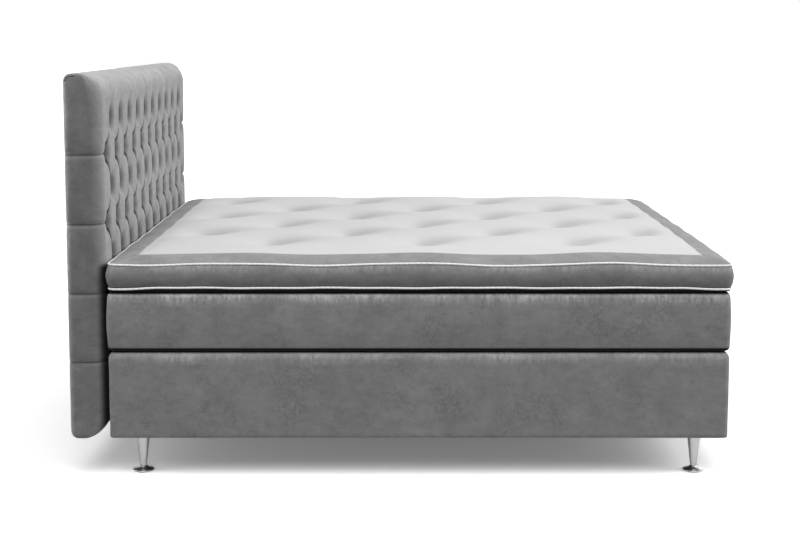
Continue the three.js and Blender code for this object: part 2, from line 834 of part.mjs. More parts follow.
function topperUnderside() {
  const inset = topper.pipingRadius + fitGap;
  return slabGeometry(topperOutline, [[inset, 0], [inset, panelThick]]);
}

function topperPieces() {
  return [
    piece('topper_core', topperCore(), foam()),
    piece('topper_underside', topperUnderside(), ticking()),
    piece('topper_side_band', topperBand(), velvet()),
    piece('topper_border', topperBorder(), velvet()),
    piece('topper_panel', topperPanel(), ticking()),
    piece('topper_piping_bottom', piping(topper.bottomPipingZ), pipingCord()),
    piece('topper_piping_top', piping(topper.topPipingZ), pipingCord()),
  ];
}

// Headboard, in its own frame: x = 0 on its back face, z = 0 on its underside

const halfWidth = bedWidth / 2;
const lastColumn = Math.floor((halfWidth - headboard.endRadius) / headboard.columnPitch);
const frameX = headboard.backCloth + fitGap;
const boardX = frameX + headboard.frameThick + fitGap;
const foamX = boardX + headboard.boardThick + fitGap;
const cavityFrontX = foamX + headboard.foamThick + fitGap;

// How deep the padding is drawn in at a place on the front. Buttons sit where two pleats
// cross, pleats run diagonally between them, and the padding swells between the pleats
function tuftDepth(y, z) {
  const columnAt = Math.min(Math.abs(y) / headboard.columnPitch, lastColumn);
  const rowAt = (z - headboard.firstRowZ) / headboard.rowPitch;
  const rowsInside = Math.min(Math.max(rowAt, 0), headboard.rows - 1);
  const across = (columnAt + 1 + rowsInside) / 2;
  const back = (columnAt + 1 - rowsInside) / 2;
  const swell = Math.sqrt(Math.abs(Math.sin(Math.PI * across) * Math.sin(Math.PI * back)));
  const button = (Math.cos(Math.PI * across) * Math.cos(Math.PI * back)) ** (2 * headboard.buttonSharpness);
  const atButton = headboard.buttonDepth - headboard.creaseDepth;
  return headboard.creaseDepth * (1 - swell) + atButton * button;
}

// 1 on the rows whose pleats run out over the end face, 0 half way between them
function endPleat(z) {
  const rowAt = (z - headboard.firstRowZ) / headboard.rowPitch;
  const inside = rowAt > 0 && rowAt < headboard.rows - 1;
  return inside ? Math.sin(Math.PI / 2 * rowAt) ** 2 : 0;
}

// Stations across the headboard: button columns, then the round front edge at the end
function halfStations() {
  const stations = [];
  for (let column = 0; column <= lastColumn; column += 1) {
    stations.push({ y: column * headboard.columnPitch, recede: 0, field: 1, end: 0 });
  }
  const fieldEnd = lastColumn * headboard.columnPitch;
  stations.push({
    y: fieldEnd + headboard.endFieldReach,
    recede: 0,
    field: headboard.endFieldShare,
    end: headboard.endFieldShare,
  });
  for (let step = 1; step <= steps.edge; step += 1) {
    const angle = step / steps.edge * Math.PI / 2;
    stations.push({
      y: halfWidth - headboard.endRadius * (1 - Math.sin(angle)),
      recede: headboard.endRadius * (1 - Math.cos(angle)),
      field: 0,
      end: step / steps.edge,
    });
  }
  return stations;
}

// How deep a straight pleat is drawn in on the round top or bottom edge: it runs on from each
// button of the outer rows and fades out towards the flat top or bottom face
function edgePleat(station, share) {
  const column = Math.round(station.y / headboard.columnPitch);
  const onPleat = station.field === 1 && column % 2 === 1 ? 1 : 0;
  return onPleat * headboard.topPleat * Math.sin(share * Math.PI / 2);
}

// The chain of points of one section, from the bottom of the back face, round the front
function sectionChain(station, side) {
  const depth = headboardThick - station.recede;
  const front = headboard.frontRadius * depth / headboardThick;
  const back = headboard.backRadius;
  const chain = [];
  const add = (x, z, rowPoint = -1) => chain.push({ x, z, rowPoint });
  for (let step = 0; step <= steps.backEdge; step += 1) {
    const angle = step / steps.backEdge * Math.PI / 2;
    add(back * (1 - Math.cos(angle)), back * (1 - Math.sin(angle)));
  }
  for (let step = 0; step <= steps.edge; step += 1) {
    const angle = step / steps.edge * Math.PI / 2;
    const reach = front - edgePleat(station, step / steps.edge);
    add(depth - front + reach * Math.sin(angle), front - reach * Math.cos(angle));
  }
  for (let row = 0; row < headboard.rows; row += 1) {
    const z = headboard.firstRowZ + row * headboard.rowPitch;
    const tuft = station.field * tuftDepth(station.y, z) + station.end * headboard.endPinch * endPleat(z);
    add(depth - tuft, z, row);
  }
  const top = headboardHeight;
  for (let step = 0; step <= steps.edge; step += 1) {
    const angle = step / steps.edge * Math.PI / 2;
    const reach = front - edgePleat(station, 1 - step / steps.edge);
    add(depth - front + reach * Math.cos(angle), top - front + reach * Math.sin(angle));
  }
  for (let step = 0; step <= steps.backEdge; step += 1) {
    const angle = step / steps.backEdge * Math.PI / 2;
    add(back * (1 - Math.sin(angle)), top - back * (1 - Math.cos(angle)));
  }
  return chain.map(({ x, z, rowPoint }) => {
    const pinch = station.end * headboard.endPinch * endPleat(z);
    const point = [x, side * (station.y - pinch - backEase(x, station)), z];
    return { point, rowPoint };
  });
}

// Near the back face the end of the headboard is drawn in by its rounded back edge
function backEase(x, station) {
  const share = Math.max(1 - x / headboard.endBackRadius, 0);
  return station.end * headboard.endBackEase * share ** 2;
}

// One end face, in strips that run front to back at each row of buttons
function endFace(triangles, chain, side) {
  const rows = chain.filter(({ rowPoint }) => rowPoint >= 0);
  const first = chain.findIndex(({ rowPoint }) => rowPoint === 0);
  const last = first + rows.length - 1;
  const station = { end: 1 };
  const chainAt = (x) => rows.map(({ point }) => {
    const pinch = headboard.endPinch * endPleat(point[2]);
    return [x, side * (halfWidth - pinch - backEase(x, station)), point[2]];
  });
  const middle = chainAt(headboard.endBackRadius);
  const back = chainAt(0);
  for (let row = 0; row + 1 < rows.length; row += 1) {
    const lines = [rows.map(({ point }) => point), middle, back];
    for (let line = 0; line + 1 < lines.length; line += 1) {
      const [a, b] = [lines[line], lines[line + 1]];
      addQuad(triangles, a[row], a[row + 1], b[row + 1], b[row], side);
    }
  }
  const low = [...chain.slice(0, first + 1).map(({ point }) => point), middle[0], back[0]];
  const topOfFace = chain.slice(last).map(({ point }) => point);
  const high = [back[back.length - 1], middle[middle.length - 1], ...topOfFace];
  fan(triangles, low, side);
  fan(triangles, high, side);
  return back;
}

function addQuad(triangles, a, b, c, d, side) {
  if (side < 0) triangles.push([a, b, c], [a, c, d]);
  else triangles.push([a, c, b], [a, d, c]);
}

// A flat face round its own middle
function fan(triangles, loop, side) {
  const middle = [0, 1, 2].map((axis) => loop.reduce((sum, point) => sum + point[axis], 0) / loop.length);
  loop.forEach((point, i) => {
    const next = loop[(i + 1) % loop.length];
    triangles.push(side < 0 ? [middle, point, next] : [middle, next, point]);
  });
}

// A cell of the front between four points. A cell of the tufted field gets a point in its
// middle, so that its pleat can run either way
function addCell(triangles, low, high, i, middleY, inField) {
  const [a, b, c, d] = [low[i].point, high[i].point, high[i + 1].point, low[i + 1].point];
  if (!inField) {
    triangles.push([a, b, c], [a, c, d]);
    return;
  }
  const z = (a[2] + c[2]) / 2;
  const centre = [headboardThick - tuftDepth(middleY, z), middleY, z];
  triangles.push([centre, a, b], [centre, b, c], [centre, c, d], [centre, d, a]);
}

function headboardForm() {
  const half = halfStations();
  const stations = [
    ...half.slice(1).reverse().map((station) => ({ ...station, side: -1 })),
    ...half.map((station) => ({ ...station, side: 1 })),
  ];
  const chains = stations.map((station) => sectionChain(station, station.side));
  const triangles = [];
  for (let s = 0; s + 1 < chains.length; s += 1) {
    const [low, high] = [chains[s], chains[s + 1]];
    const [here, next] = [stations[s], stations[s + 1]];
    const bothInField = here.recede === 0 && next.recede === 0 && here.field === 1 && next.field === 1;
    const middleY = (here.side * here.y + next.side * next.y) / 2;
    for (let i = 0; i + 1 < low.length; i += 1) {
      const tufted = low[i].rowPoint >= 0 && low[i + 1].rowPoint >= 0;
      addCell(triangles, low, high, i, middleY, bothInField && tufted);
    }
  }
  const nearBack = endFace(triangles, chains[0], -1);
  const farBack = endFace(triangles, chains[chains.length - 1], 1);
  const backLoop = [
    ...chains.map((chain) => chain[0].point), ...farBack,
    ...chains.map((chain) => chain[chain.length - 1].point).reverse(), ...nearBack.reverse(),
  ];
  const flat = backLoop.map(([, y, z]) => new THREE.Vector2(y, z));
  for (const [a, b, c] of THREE.ShapeUtils.triangulateShape(flat, [])) {
    triangles.push([backLoop[a], backLoop[c], backLoop[b]]);
  }
  return closedGeometry(triangles);
}

function headboardBox(fromX, toX, edge) {
  return boxBetween(
    [fromX, -halfWidth + edge, edge],
    [toX, halfWidth - edge, headboardHeight - edge],
  );
}

function headboardBoltHoles(fromX, toX) {
  return boltPlaces.map(([, y]) => boltHole(fromX, toX, y, boltZ - headboardBottomZ));
}

function headboardCover() {
  const cavity = headboardBox(-cutOverrun, cavityFrontX, headboard.edgeWall);
  const holes = headboardBoltHoles(cavityFrontX - cutOverrun, headboardThick + cutOverrun);
  return cut(headboardForm(), cavity, ...holes);
}

// A timber frame with a crossbar at the height of the bolts, and an upright in the middle
function headboardFrame() {
  const edge = headboard.edgeWall + fitGap;
  const wide = headboard.frameWide;
  const toX = frameX + headboard.frameThick;
  const crossbarTop = boltZ - headboardBottomZ + headboard.crossbarWide / 2;
  const openings = [-1, 1].map((side) => {
    const across = [side * wide / 2, side * (halfWidth - edge - wide)].sort((a, b) => a - b);
    const low = [frameX - cutOverrun, across[0], crossbarTop];
    return boxBetween(low, [toX + cutOverrun, across[1], headboardHeight - edge - wide]);
  });
  const holes = headboardBoltHoles(frameX + cutOverrun, toX + cutOverrun);
  return cut(headboardBox(frameX, toX, edge), ...openings, ...holes);
}

// A layer of the headboard, with its two bolt holes: the plywood board or the foam on it
function headboardLayer(fromX, thick) {
  const layer = headboardBox(fromX, fromX + thick, headboard.edgeWall + fitGap);
  return cut(layer, ...headboardBoltHoles(fromX - cutOverrun, fromX + thick + cutOverrun));
}

// A bolt from inside the head rail, through the padding, into the headboard's frame
function headboardBolt() {
  const tip = frameX + cutOverrun + fitGap;
  const railInner = headboardThick + headboardGap + frameInset + timber.thick + fitGap;
  const shank = rodAlongX(bolt.radius, tip, railInner + bolt.washerThick, 0, 0);
  const washer = rodAlongX(bolt.washerRadius, railInner, railInner + bolt.washerThick, 0, 0);
  const headEnd = railInner + bolt.washerThick + bolt.headHeight;
  const headStart = railInner + bolt.washerThick / 2;
  const head = rodAlongX(bolt.headRadius, headStart, headEnd, 0, 0, bolt.headSides);
  return join(shank, washer, head);
}

function headboardPieces() {
  const board = headboardLayer(boardX, headboard.boardThick);
  const padding = headboardLayer(foamX, headboard.foamThick);
  const cloth = headboardBox(0, headboard.backCloth, headboard.edgeWall + fitGap);
  const pieces = [
    piece('headboard_cover', headboardCover(), velvet()),
    piece('headboard_frame', headboardFrame(), pine()),
    piece('headboard_board', board, plywood()),
    piece('headboard_foam', padding, foam()),
    piece('headboard_back_cloth', cloth, backingCloth()),
  ];
  const boltHeight = boltZ - headboardBottomZ;
  for (const [name, y] of boltPlaces) {
    pieces.push(piece(`headboard_bolt_${name}`, headboardBolt(), zincSteel(), [0, y, boltHeight]));
  }
  return pieces;
}

function grouped(pieces, x, y, z) {
  const group = new THREE.Group();
  group.position.set(x, y, z);
  group.add(...pieces);
  return group;
}

const topperCentreX = bedHeadX + bedLength + footOverhang - topper.bulge - topperLength / 2;
const bed = new THREE.Group();
bed.add(
  grouped([...legPieces(), ...basePieces()], bedCentreX, 0, 0),
  grouped(mattressPieces(), bedCentreX, 0, mattressBottomZ),
  grouped(topperPieces(), topperCentreX, 0, topperBottomZ),
  grouped(headboardPieces(), headboardBackX, 0, headboardBottomZ),
);

export default bed;
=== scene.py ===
import bmesh
import bpy
import numpy as np
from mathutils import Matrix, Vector


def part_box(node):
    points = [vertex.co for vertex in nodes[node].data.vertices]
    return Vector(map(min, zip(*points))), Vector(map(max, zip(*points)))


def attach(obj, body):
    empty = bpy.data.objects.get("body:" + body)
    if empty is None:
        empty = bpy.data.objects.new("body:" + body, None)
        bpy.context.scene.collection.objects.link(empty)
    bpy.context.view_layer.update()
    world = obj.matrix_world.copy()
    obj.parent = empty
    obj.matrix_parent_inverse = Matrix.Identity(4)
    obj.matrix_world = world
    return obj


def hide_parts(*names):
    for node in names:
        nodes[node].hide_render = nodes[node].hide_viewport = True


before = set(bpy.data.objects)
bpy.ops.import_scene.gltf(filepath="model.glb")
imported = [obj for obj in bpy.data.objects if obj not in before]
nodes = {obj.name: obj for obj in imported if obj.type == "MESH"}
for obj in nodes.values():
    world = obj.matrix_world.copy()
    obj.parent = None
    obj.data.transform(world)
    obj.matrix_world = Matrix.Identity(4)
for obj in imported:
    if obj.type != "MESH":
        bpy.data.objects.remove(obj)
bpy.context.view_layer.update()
scene = bpy.context.scene
mm = 0.001
print("frame loaded")


# Colour and shader helpers

def colour(code):
    # sRGB hex to linear: c / 12.92 below 0.04045, ((c + 0.055) / 1.055) ^ 2.4 above
    values = np.array([int(code[i:i + 2], 16) for i in (1, 3, 5)]) / 255
    linear = np.where(values <= 0.04045, values / 12.92, ((values + 0.055) / 1.055) ** 2.4)
    return (*linear.tolist(), 1)


def addNode(tree, kind, inputs=None, **attributes):
    # inputs are values or output sockets, under the input's name or number
    node = tree.nodes.new(kind)
    for name, value in attributes.items():
        setattr(node, name, value)
    for name, value in (inputs or {}).items():
        if isinstance(value, bpy.types.NodeSocket):
            tree.links.new(value, node.inputs[name])
        else:
            node.inputs[name].default_value = value
    return node


def newMaterial(name):
    material = bpy.data.materials.new(name)
    material.use_nodes = True
    material.node_tree.nodes.clear()
    return material, material.node_tree


def finishMaterial(material, base, roughness, bump=None, more=None):
    # bump is its height, strength and distance, more is other inputs of the shader
    tree = material.node_tree
    inputs = {"Base Color": base, "Roughness": roughness, **(more or {})}
    if bump:
        relief = dict(zip(("Height", "Strength", "Distance"), bump))
        inputs["Normal"] = addNode(tree, "ShaderNodeBump", relief).outputs["Normal"]
    shader = addNode(tree, "ShaderNodeBsdfPrincipled", inputs)
    addNode(tree, "ShaderNodeOutputMaterial", {"Surface": shader.outputs["BSDF"]})
    return material


def objectPlace(tree):
    return addNode(tree, "ShaderNodeTexCoord").outputs["Object"]


def scaledPlace(tree, scale, turn=(0, 0, 0)):
    inputs = {"Vector": objectPlace(tree), "Scale": scale, "Rotation": turn}
    return addNode(tree, "ShaderNodeMapping", inputs).outputs["Vector"]


def noise(tree, size, detail=3, roughness=0.55, stretch=(1, 1, 1)):
    # size is one blotch in metres
    place = scaledPlace(tree, [part / size for part in stretch])
    inputs = {"Vector": place, "Scale": 1, "Detail": detail, "Roughness": roughness}
    return addNode(tree, "ShaderNodeTexNoise", inputs).outputs["Fac"]


def stripes(tree, pitch, direction="X", distortion=0, place=None):
    # the texture runs through 20 radians a unit, so pitch is the length of one radian
    inputs = {"Vector": place or objectPlace(tree), "Scale": 1 / (20 * pitch), "Distortion": distortion}
    return addNode(tree, "ShaderNodeTexWave", inputs, bands_direction=direction).outputs["Fac"]


def cells(tree, size, randomness=1):
    inputs = {"Vector": objectPlace(tree), "Scale": 1 / size, "Randomness": randomness}
    return addNode(tree, "ShaderNodeTexVoronoi", inputs).outputs["Distance"]


def attribute(tree, name):
    return addNode(tree, "ShaderNodeAttribute", attribute_name=name).outputs["Fac"]


def ramp(source, stops):
    # stops are places and grey values
    node = addNode(source.id_data, "ShaderNodeValToRGB", {"Fac": source})
    for element, (position, shade) in zip(node.color_ramp.elements, stops):
        element.position = position
        element.color = (shade, shade, shade, 1)
    return node.outputs["Color"]


def treeOf(*values):
    # the node tree of the first of these that is a socket
    return next(value.id_data for value in values if isinstance(value, bpy.types.NodeSocket))


def combine(operation, *values):
    inputs = dict(enumerate(values))
    return addNode(treeOf(*values), "ShaderNodeMath", inputs, operation=operation).outputs["Value"]


def plus(total, *others):
    for value in others:
        total = combine("ADD", total, value)
    return total


def times(total, *others):
    for value in others:
        total = combine("MULTIPLY", total, value)
    return total


def less(value, part):
    return combine("SUBTRACT", value, part)


def mixed(factor, a, b, blend="MIX"):
    # inputs 6 and 7 of the node are its colours
    inputs = {0: factor, 6: a, 7: b}
    tree = treeOf(factor, a, b)
    return addNode(tree, "ShaderNodeMix", inputs, data_type="RGBA", blend_type=blend).outputs[2]


# Mesh helpers

def gridQuads(rows, columns, closeRows=False, closeColumns=False, start=0):
    # quads between neighbours of a rows x columns grid, closed on itself where asked
    i, j = np.meshgrid(np.arange(rows if closeRows else rows - 1),
                       np.arange(columns if closeColumns else columns - 1), indexing="ij")
    nextI, nextJ = (i + 1) % rows, (j + 1) % columns
    corners = [i * columns + j, nextI * columns + j, nextI * columns + nextJ, i * columns + nextJ]
    return start + np.stack(corners, axis=-1).reshape(-1, 4)


def sheetGrid(low, high, rows, columns):
    # even grid over a rectangle, and each point's distance to its rim
    x, y = np.meshgrid(np.linspace(low[0], high[0], rows),
                       np.linspace(low[1], high[1], columns), indexing="ij")
    return x, y, np.minimum(np.minimum(x - low[0], high[0] - x), np.minimum(y - low[1], high[1] - y))


def slabFaces(rows, columns):
    # two grids, the second under the first, closed round their rim
    size = rows * columns
    index = np.arange(size).reshape(rows, columns)
    rim = np.concatenate([index[:-1, 0], index[-1, :-1], index[:0:-1, -1], index[0, :0:-1]])
    following = np.roll(rim, -1)
    return [*gridQuads(rows, columns).tolist(), *gridQuads(rows, columns, start=size)[:, ::-1].tolist(),
            *np.stack([rim, following, following + size, rim + size], axis=1).tolist()]


def newObject(name, data):
    item = bpy.data.objects.new(name, data)
    scene.collection.objects.link(item)
    return item


def buildPiece(name, points, faces, maps=None, weld=True, sharp=None):
    # maps are per-point arrays: two columns make a UV map, one an attribute
    mesh = bpy.data.meshes.new(name)
    mesh.from_pydata(points.reshape(-1, 3).tolist(), [], faces)
    for label, values in (maps or {}).items():
        values = np.asarray(values, np.float32)
        if values.ndim == 2:
            corner = np.zeros(len(mesh.loops), np.int32)
            mesh.loops.foreach_get("vertex_index", corner)
            mesh.uv_layers.new(name=label).data.foreach_set("uv", values[corner].ravel())
        else:
            mesh.attributes.new(label, "FLOAT", "POINT").data.foreach_set("value", values)
    if weld:
        work = bmesh.new()
        work.from_mesh(mesh)
        bmesh.ops.remove_doubles(work, verts=work.verts, dist=0.01 * mm)
        bmesh.ops.dissolve_degenerate(work, edges=work.edges, dist=0.001 * mm)
        bmesh.ops.recalc_face_normals(work, faces=work.faces)
        work.to_mesh(mesh)
        work.free()
    mesh.polygons.foreach_set("use_smooth", np.ones(len(mesh.polygons), bool))
    if sharp:
        mesh.set_sharp_from_angle(angle=np.radians(sharp))
    return newObject(name, mesh)


def buildLoop(name, points, maps=None):
    # a closed section carried round a closed outline
    faces = gridQuads(*points.shape[:2], closeRows=True, closeColumns=True)
    return buildPiece(name, points, faces.tolist(), maps)


def dress(piece, body, material, replaced=()):
    piece.data.materials.append(material)
    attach(piece, body)
    if replaced:
        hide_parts(*replaced)


def smoothStep(value, low=0.0, high=1.0):
    # 3t^2 - 2t^3, with t from 0 at low to 1 at high
    t = np.clip((value - low) / (high - low), 0, 1)
    return t * t * (3 - 2 * t)


def bell(value, wide):
    # exp(-(value / wide)^2)
    return np.exp(-(value / wide) ** 2)


def ripple(x, y, z, waves):
    # a sum of sines of place: size * sin(2 pi (x a + y b + z c) + shift)
    return sum(size * np.sin(2 * np.pi * (x * a + y * b + z * c) + shift)
               for size, a, b, c, shift in waves)


def patches(x, y):
    # 0.25 to 1.15 along the edges: a mean level and slow sines of x and y, for the painted highlight
    return 0.7 + ripple(x, y, 0, [(0.25, 1.9, 1.7, 0, 0.6), (0.2, 4.7, 4.1, 0, 2.2)])


def boxOf(*names):
    corners = [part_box(name) for name in names]
    low = np.min([np.array(corner[0]) for corner in corners], axis=0)
    high = np.max([np.array(corner[1]) for corner in corners], axis=0)
    return low, high


# Materials

velvetPile = {"cloud": 95 * mm, "brushed": 30 * mm, "mark": 22 * mm, "line": 31 * mm, "cluster": 120 * mm,
              "streak": 11 * mm, "tuft": 2.6 * mm,  # the real pile is 0.3 mm, drawn coarser to show
              "paintedShadeLoss": 0.96, "relief": 2 * mm,
              "pleatRun": 130, "pleatHalf": 6.5, "foldHalf": 4}  # the last three in mm


def crushedVelvet(name, shade="#828282", slant=0.38, crush=0.05, buttoned=False):
    # Polyester velvet: a short dense pile, with cloudy marks where the pile lies another way. Painted
    # sheen makes its colour lighter at a slant, and painted shade from an attribute darkens it
    material, tree = newMaterial(name)
    clouds = noise(tree, velvetPile["cloud"], detail=5, roughness=0.62)
    brushed = noise(tree, velvetPile["brushed"], detail=4, roughness=0.65, stretch=(0.7, 0.7, 1.25))
    marks = ramp(noise(tree, velvetPile["mark"], detail=6, roughness=0.75), [(0.33, 0), (0.47, 1)])
    pile = noise(tree, velvetPile["tuft"], roughness=0.6)
    # painted sheen: the colour is lighter on a surface seen at a slant, 0.94 + slant * facing^0.7
    facing = addNode(tree, "ShaderNodeLayerWeight", {"Blend": 0.5}).outputs["Facing"]
    light = plus(times(combine("POWER", facing, 0.7), slant), 0.94)
    for pattern, strength in ((clouds, 0.6), (brushed, 0.5), (marks, 0.15), (pile, 0.3)):
        light = times(light, plus(times(pattern, strength), 1 - strength * 0.5))
    # fine crush lines, 1 on the middle contour of a noise and 0 off it, in clusters
    contour = less(noise(tree, velvetPile["line"], detail=5, roughness=0.7), 0.5)
    lines = ramp(combine("ABSOLUTE", contour), [(0.008, 1), (0.045, 0)])
    clusters = ramp(noise(tree, velvetPile["cluster"], roughness=0.6), [(0.5, 0), (0.62, 1)])
    light = times(light, less(1, times(lines, clusters, crush)))
    # painted highlight: the colour is lighter where its attribute is, with short streaks up the cloth there
    streaks = noise(tree, velvetPile["streak"], detail=4, roughness=0.7, stretch=(1, 1, 0.22))
    streaks = combine("MAXIMUM", less(times(streaks, 2.2), 0.85), 0)
    light = times(light, plus(times(attribute(tree, "combed"), plus(streaks, 0.1)), 1))
    # painted shade: the colour is darker where its attribute is, and in the pleat lines of a buttoned cover
    pressed = attribute(tree, "pressed")
    if buttoned:
        pressed = combine("MAXIMUM", pressed, pleatLines(tree))
    light = times(light, less(1, times(pressed, velvetPile["paintedShadeLoss"])))
    base = mixed(1, colour(shade), light, "MULTIPLY")
    height = less(plus(times(clouds, 2.2), brushed, times(pile, 0.1)), times(pressed, 1.2))
    return finishMaterial(material, base, 0.9, (height, 0.5, velvetPile["relief"]), {
        "Sheen Weight": 0.12, "Sheen Roughness": 0.4, "Sheen Tint": (1, 1, 1, 1), "Specular IOR Level": 0.1})


def pleatLines(tree):
    # thin shadow in each pleat: 1 where the tuft map has a whole number and 0 from pleatHalf
    # away, with pleatRun to one unit. The fold is 1 at 100 of its attribute, which is in mm, and
    # 0 from foldHalf away
    def lineAt(away, half):
        return combine("MAXIMUM", less(1, times(away, 1 / half)), 0)

    tuftMap = addNode(tree, "ShaderNodeUVMap", uv_map="tuft").outputs["UV"]
    tuft = addNode(tree, "ShaderNodeSeparateXYZ", {"Vector": tuftMap})
    total = 0
    for axis, name in (("X", "pleatA"), ("Y", "pleatB")):
        away = less(0.5, combine("ABSOLUTE", less(combine("FRACT", tuft.outputs[axis]), 0.5)))
        line = lineAt(away, velvetPile["pleatHalf"] / velvetPile["pleatRun"])
        total = plus(total, times(combine("POWER", line, 0.5), attribute(tree, name)))
    fold = combine("ABSOLUTE", less(attribute(tree, "fold"), 100))
    return combine("MINIMUM", plus(total, lineAt(fold, velvetPile["foldHalf"])), 1)


def knittedTicking(name):
    # White polyester ticking: a soft jersey, matt, with a fine knit. Painted shade darkens it beside
    # the tufts: its colour there is times 1 - 0.24 * hollow
    material, tree = newMaterial(name)
    knit = times(stripes(tree, 3.2 * mm, "X", 1.5), stripes(tree, 2.6 * mm, "Y", 1))
    light = plus(times(noise(tree, 130 * mm), 0.05), times(knit, 0.03))
    base = mixed(light, colour("#d0d0d0"), colour("#ededed"))
    base = mixed(1, base, less(1, times(attribute(tree, "hollow"), 0.24)), "MULTIPLY")
    return finishMaterial(material, base, 0.8, (knit, 0.25, 0.5 * mm),
                          {"Sheen Weight": 0.12, "Sheen Roughness": 0.5, "Specular IOR Level": 0.25})


def wovenPiping(name):
    # White cotton piping: bias tape over a cord, with its twill slanting round it
    material, tree = newMaterial(name)
    twill = stripes(tree, 2 * mm, distortion=0.4, place=scaledPlace(tree, (1, 1, 1), (0.4, 0.5, 0.7)))
    base = mixed(twill, colour("#ececec"), colour("#fafafa"))
    return finishMaterial(material, base, 0.75, (twill, 0.3, 0.3 * mm),
                          {"Sheen Weight": 0.1, "Specular IOR Level": 0.3})


def polishedChrome(name, gloss=0.06, shades=("#a4a4a5", "#9c9c9d")):
    # Chrome plate on turned steel: mirror bright, with the faintest turning marks
    material, tree = newMaterial(name)
    wear = noise(tree, 14 * mm, detail=4)
    base = mixed(wear, colour(shades[0]), colour(shades[1]))
    rough = ramp(wear, [(0.35, gloss), (0.75, gloss + 0.06)])
    rings = stripes(tree, 1.2 * mm, "Z", 0.3)
    return finishMaterial(material, base, rough, (rings, 0.03, 0.05 * mm), {"Metallic": 1})


def zincedSteel(name):
    # Zinc plated steel: satin, with a faint crystal flow of the plating
    material, tree = newMaterial(name)
    spangle = noise(tree, 5 * mm, detail=5)
    base = mixed(spangle, colour("#8f9193"), colour("#b4b6b8"))
    return finishMaterial(material, base, ramp(spangle, [(0.3, 0.32), (0.7, 0.5)]), more={"Metallic": 1})


def mouldedPlastic(name):
    # Black polypropylene, injection moulded with a fine spark-eroded grain
    material, tree = newMaterial(name)
    base = mixed(noise(tree, 20 * mm), colour("#1c1c1c"), colour("#292929"))
    grain = noise(tree, 0.9 * mm, detail=2)
    return finishMaterial(material, base, 0.45, (grain, 0.2, 0.1 * mm))


def planedPine(name, along):
    # Planed pine: pale sapwood with darker growth rings drawn out along the grain
    material, tree = newMaterial(name)
    rings = noise(tree, 26 * mm, detail=2, stretch=[0.06 if axis == along else 1 for axis in "XYZ"])
    fibre = noise(tree, 3 * mm, detail=4, stretch=[0.04 if axis == along else 1 for axis in "XYZ"])
    tone = plus(times(combine("SINE", times(rings, 60)), 0.28), times(fibre, 0.5))
    base = mixed(tone, colour("#dcbf8e"), colour("#b98f58"))
    return finishMaterial(material, base, 0.6, (fibre, 0.2, 0.3 * mm))


def birchPlywood(name):
    # Birch plywood: flat figured face veneer, with its plies as bands through the thickness
    material, tree = newMaterial(name)
    figure = noise(tree, 60 * mm, detail=5, stretch=(1, 0.2, 1))
    tone = plus(times(figure, 0.7), times(stripes(tree, 1.5 * mm), 0.3))
    base = mixed(tone, colour("#cfa872"), colour("#a97f4d"))
    return finishMaterial(material, base, 0.6)


def cellularFoam(name):
    # Cut polyurethane foam: open cells of about 1 mm, drawn at 3 mm, slightly yellowed
    material, tree = newMaterial(name)
    pores = cells(tree, 3 * mm)
    base = mixed(plus(times(pores, 0.8), 0.1), colour("#d6cba2"), colour("#efe9d2"))
    return finishMaterial(material, base, 0.9, (pores, 0.5, 0.8 * mm))


def bondedFleece(name):
    # Spun-bonded fleece of the spring pockets: white, matt, with its fine spot-weld pattern
    material, tree = newMaterial(name)
    spots = cells(tree, 4 * mm, randomness=0.1)
    base = mixed(ramp(spots, [(0.15, 0), (0.35, 1)]), colour("#cfcfcf"), colour("#ededed"))
    return finishMaterial(material, base, 0.85, (spots, 0.4, 0.3 * mm))


def darkBackingCloth(name):
    # Black non-woven backing cloth: dull, with short random fibres
    material, tree = newMaterial(name)
    fibres = noise(tree, 3.5 * mm, detail=5, roughness=0.7)
    base = mixed(fibres, colour("#202020"), colour("#3c3c3c"))
    return finishMaterial(material, base, 0.9, (fibres, 0.4, 0.3 * mm), {"Sheen Weight": 0.1})


# every velvet here carries a painted sheen; the headboard's copy is darker and its painted sheen much
# stronger
velvet = crushedVelvet("crushed_velvet", crush=0.2)
topperVelvet = crushedVelvet("crushed_velvet_topper")
headboardVelvet = crushedVelvet("crushed_velvet_headboard", shade="#707070", slant=1.25, buttoned=True)
ticking = knittedTicking("knitted_ticking")
piping = wovenPiping("cotton_piping")
chrome = polishedChrome("chrome_plate")
satinChrome = polishedChrome("satin_chrome_plate", 0.3, ("#bdbdbe", "#b0b0b1"))
zinc = zincedSteel("zinc_plated_steel")
plastic = mouldedPlastic("black_polypropylene")
pineAlongX = planedPine("planed_pine_along", "X")
pineAlongY = planedPine("planed_pine_across", "Y")
pineUpright = planedPine("planed_pine_upright", "Z")
plywood = birchPlywood("birch_plywood")
foam = cellularFoam("polyurethane_foam")
fleece = bondedFleece("bonded_fleece")
backingCloth = darkBackingCloth("backing_cloth")
print("materials made")


# Outlines: a rectangle with round corners, walked once round

def walkRound(length, width, spacing, cornerSteps=8):
    # For each place round the outline: its share of the half length and half width, and its
    # outward normal. A place at an inset is share * (half - inset - r) + r * normal
    shares, normals = [], []
    corners = [(1, 1), (-1, 1), (-1, -1), (1, -1)]
    for quarter, corner in enumerate(corners):
        following = corners[(quarter + 1) % 4]
        angle = (quarter + np.linspace(0, 1, cornerSteps + 1)) * np.pi / 2
        shares.append(np.tile(corner, (cornerSteps + 1, 1)))
        normals.append(np.stack([np.cos(angle), np.sin(angle)], axis=1))
        run = length if following[0] != corner[0] else width
        along = np.linspace(0, 1, int(run / spacing) + 1)[1:-1, None]
        shares.append(np.array(corner) + (np.array(following) - np.array(corner)) * along)
        normals.append(np.tile(normals[-1][-1], (len(along), 1)))
    return np.concatenate(shares).astype(float), np.concatenate(normals)


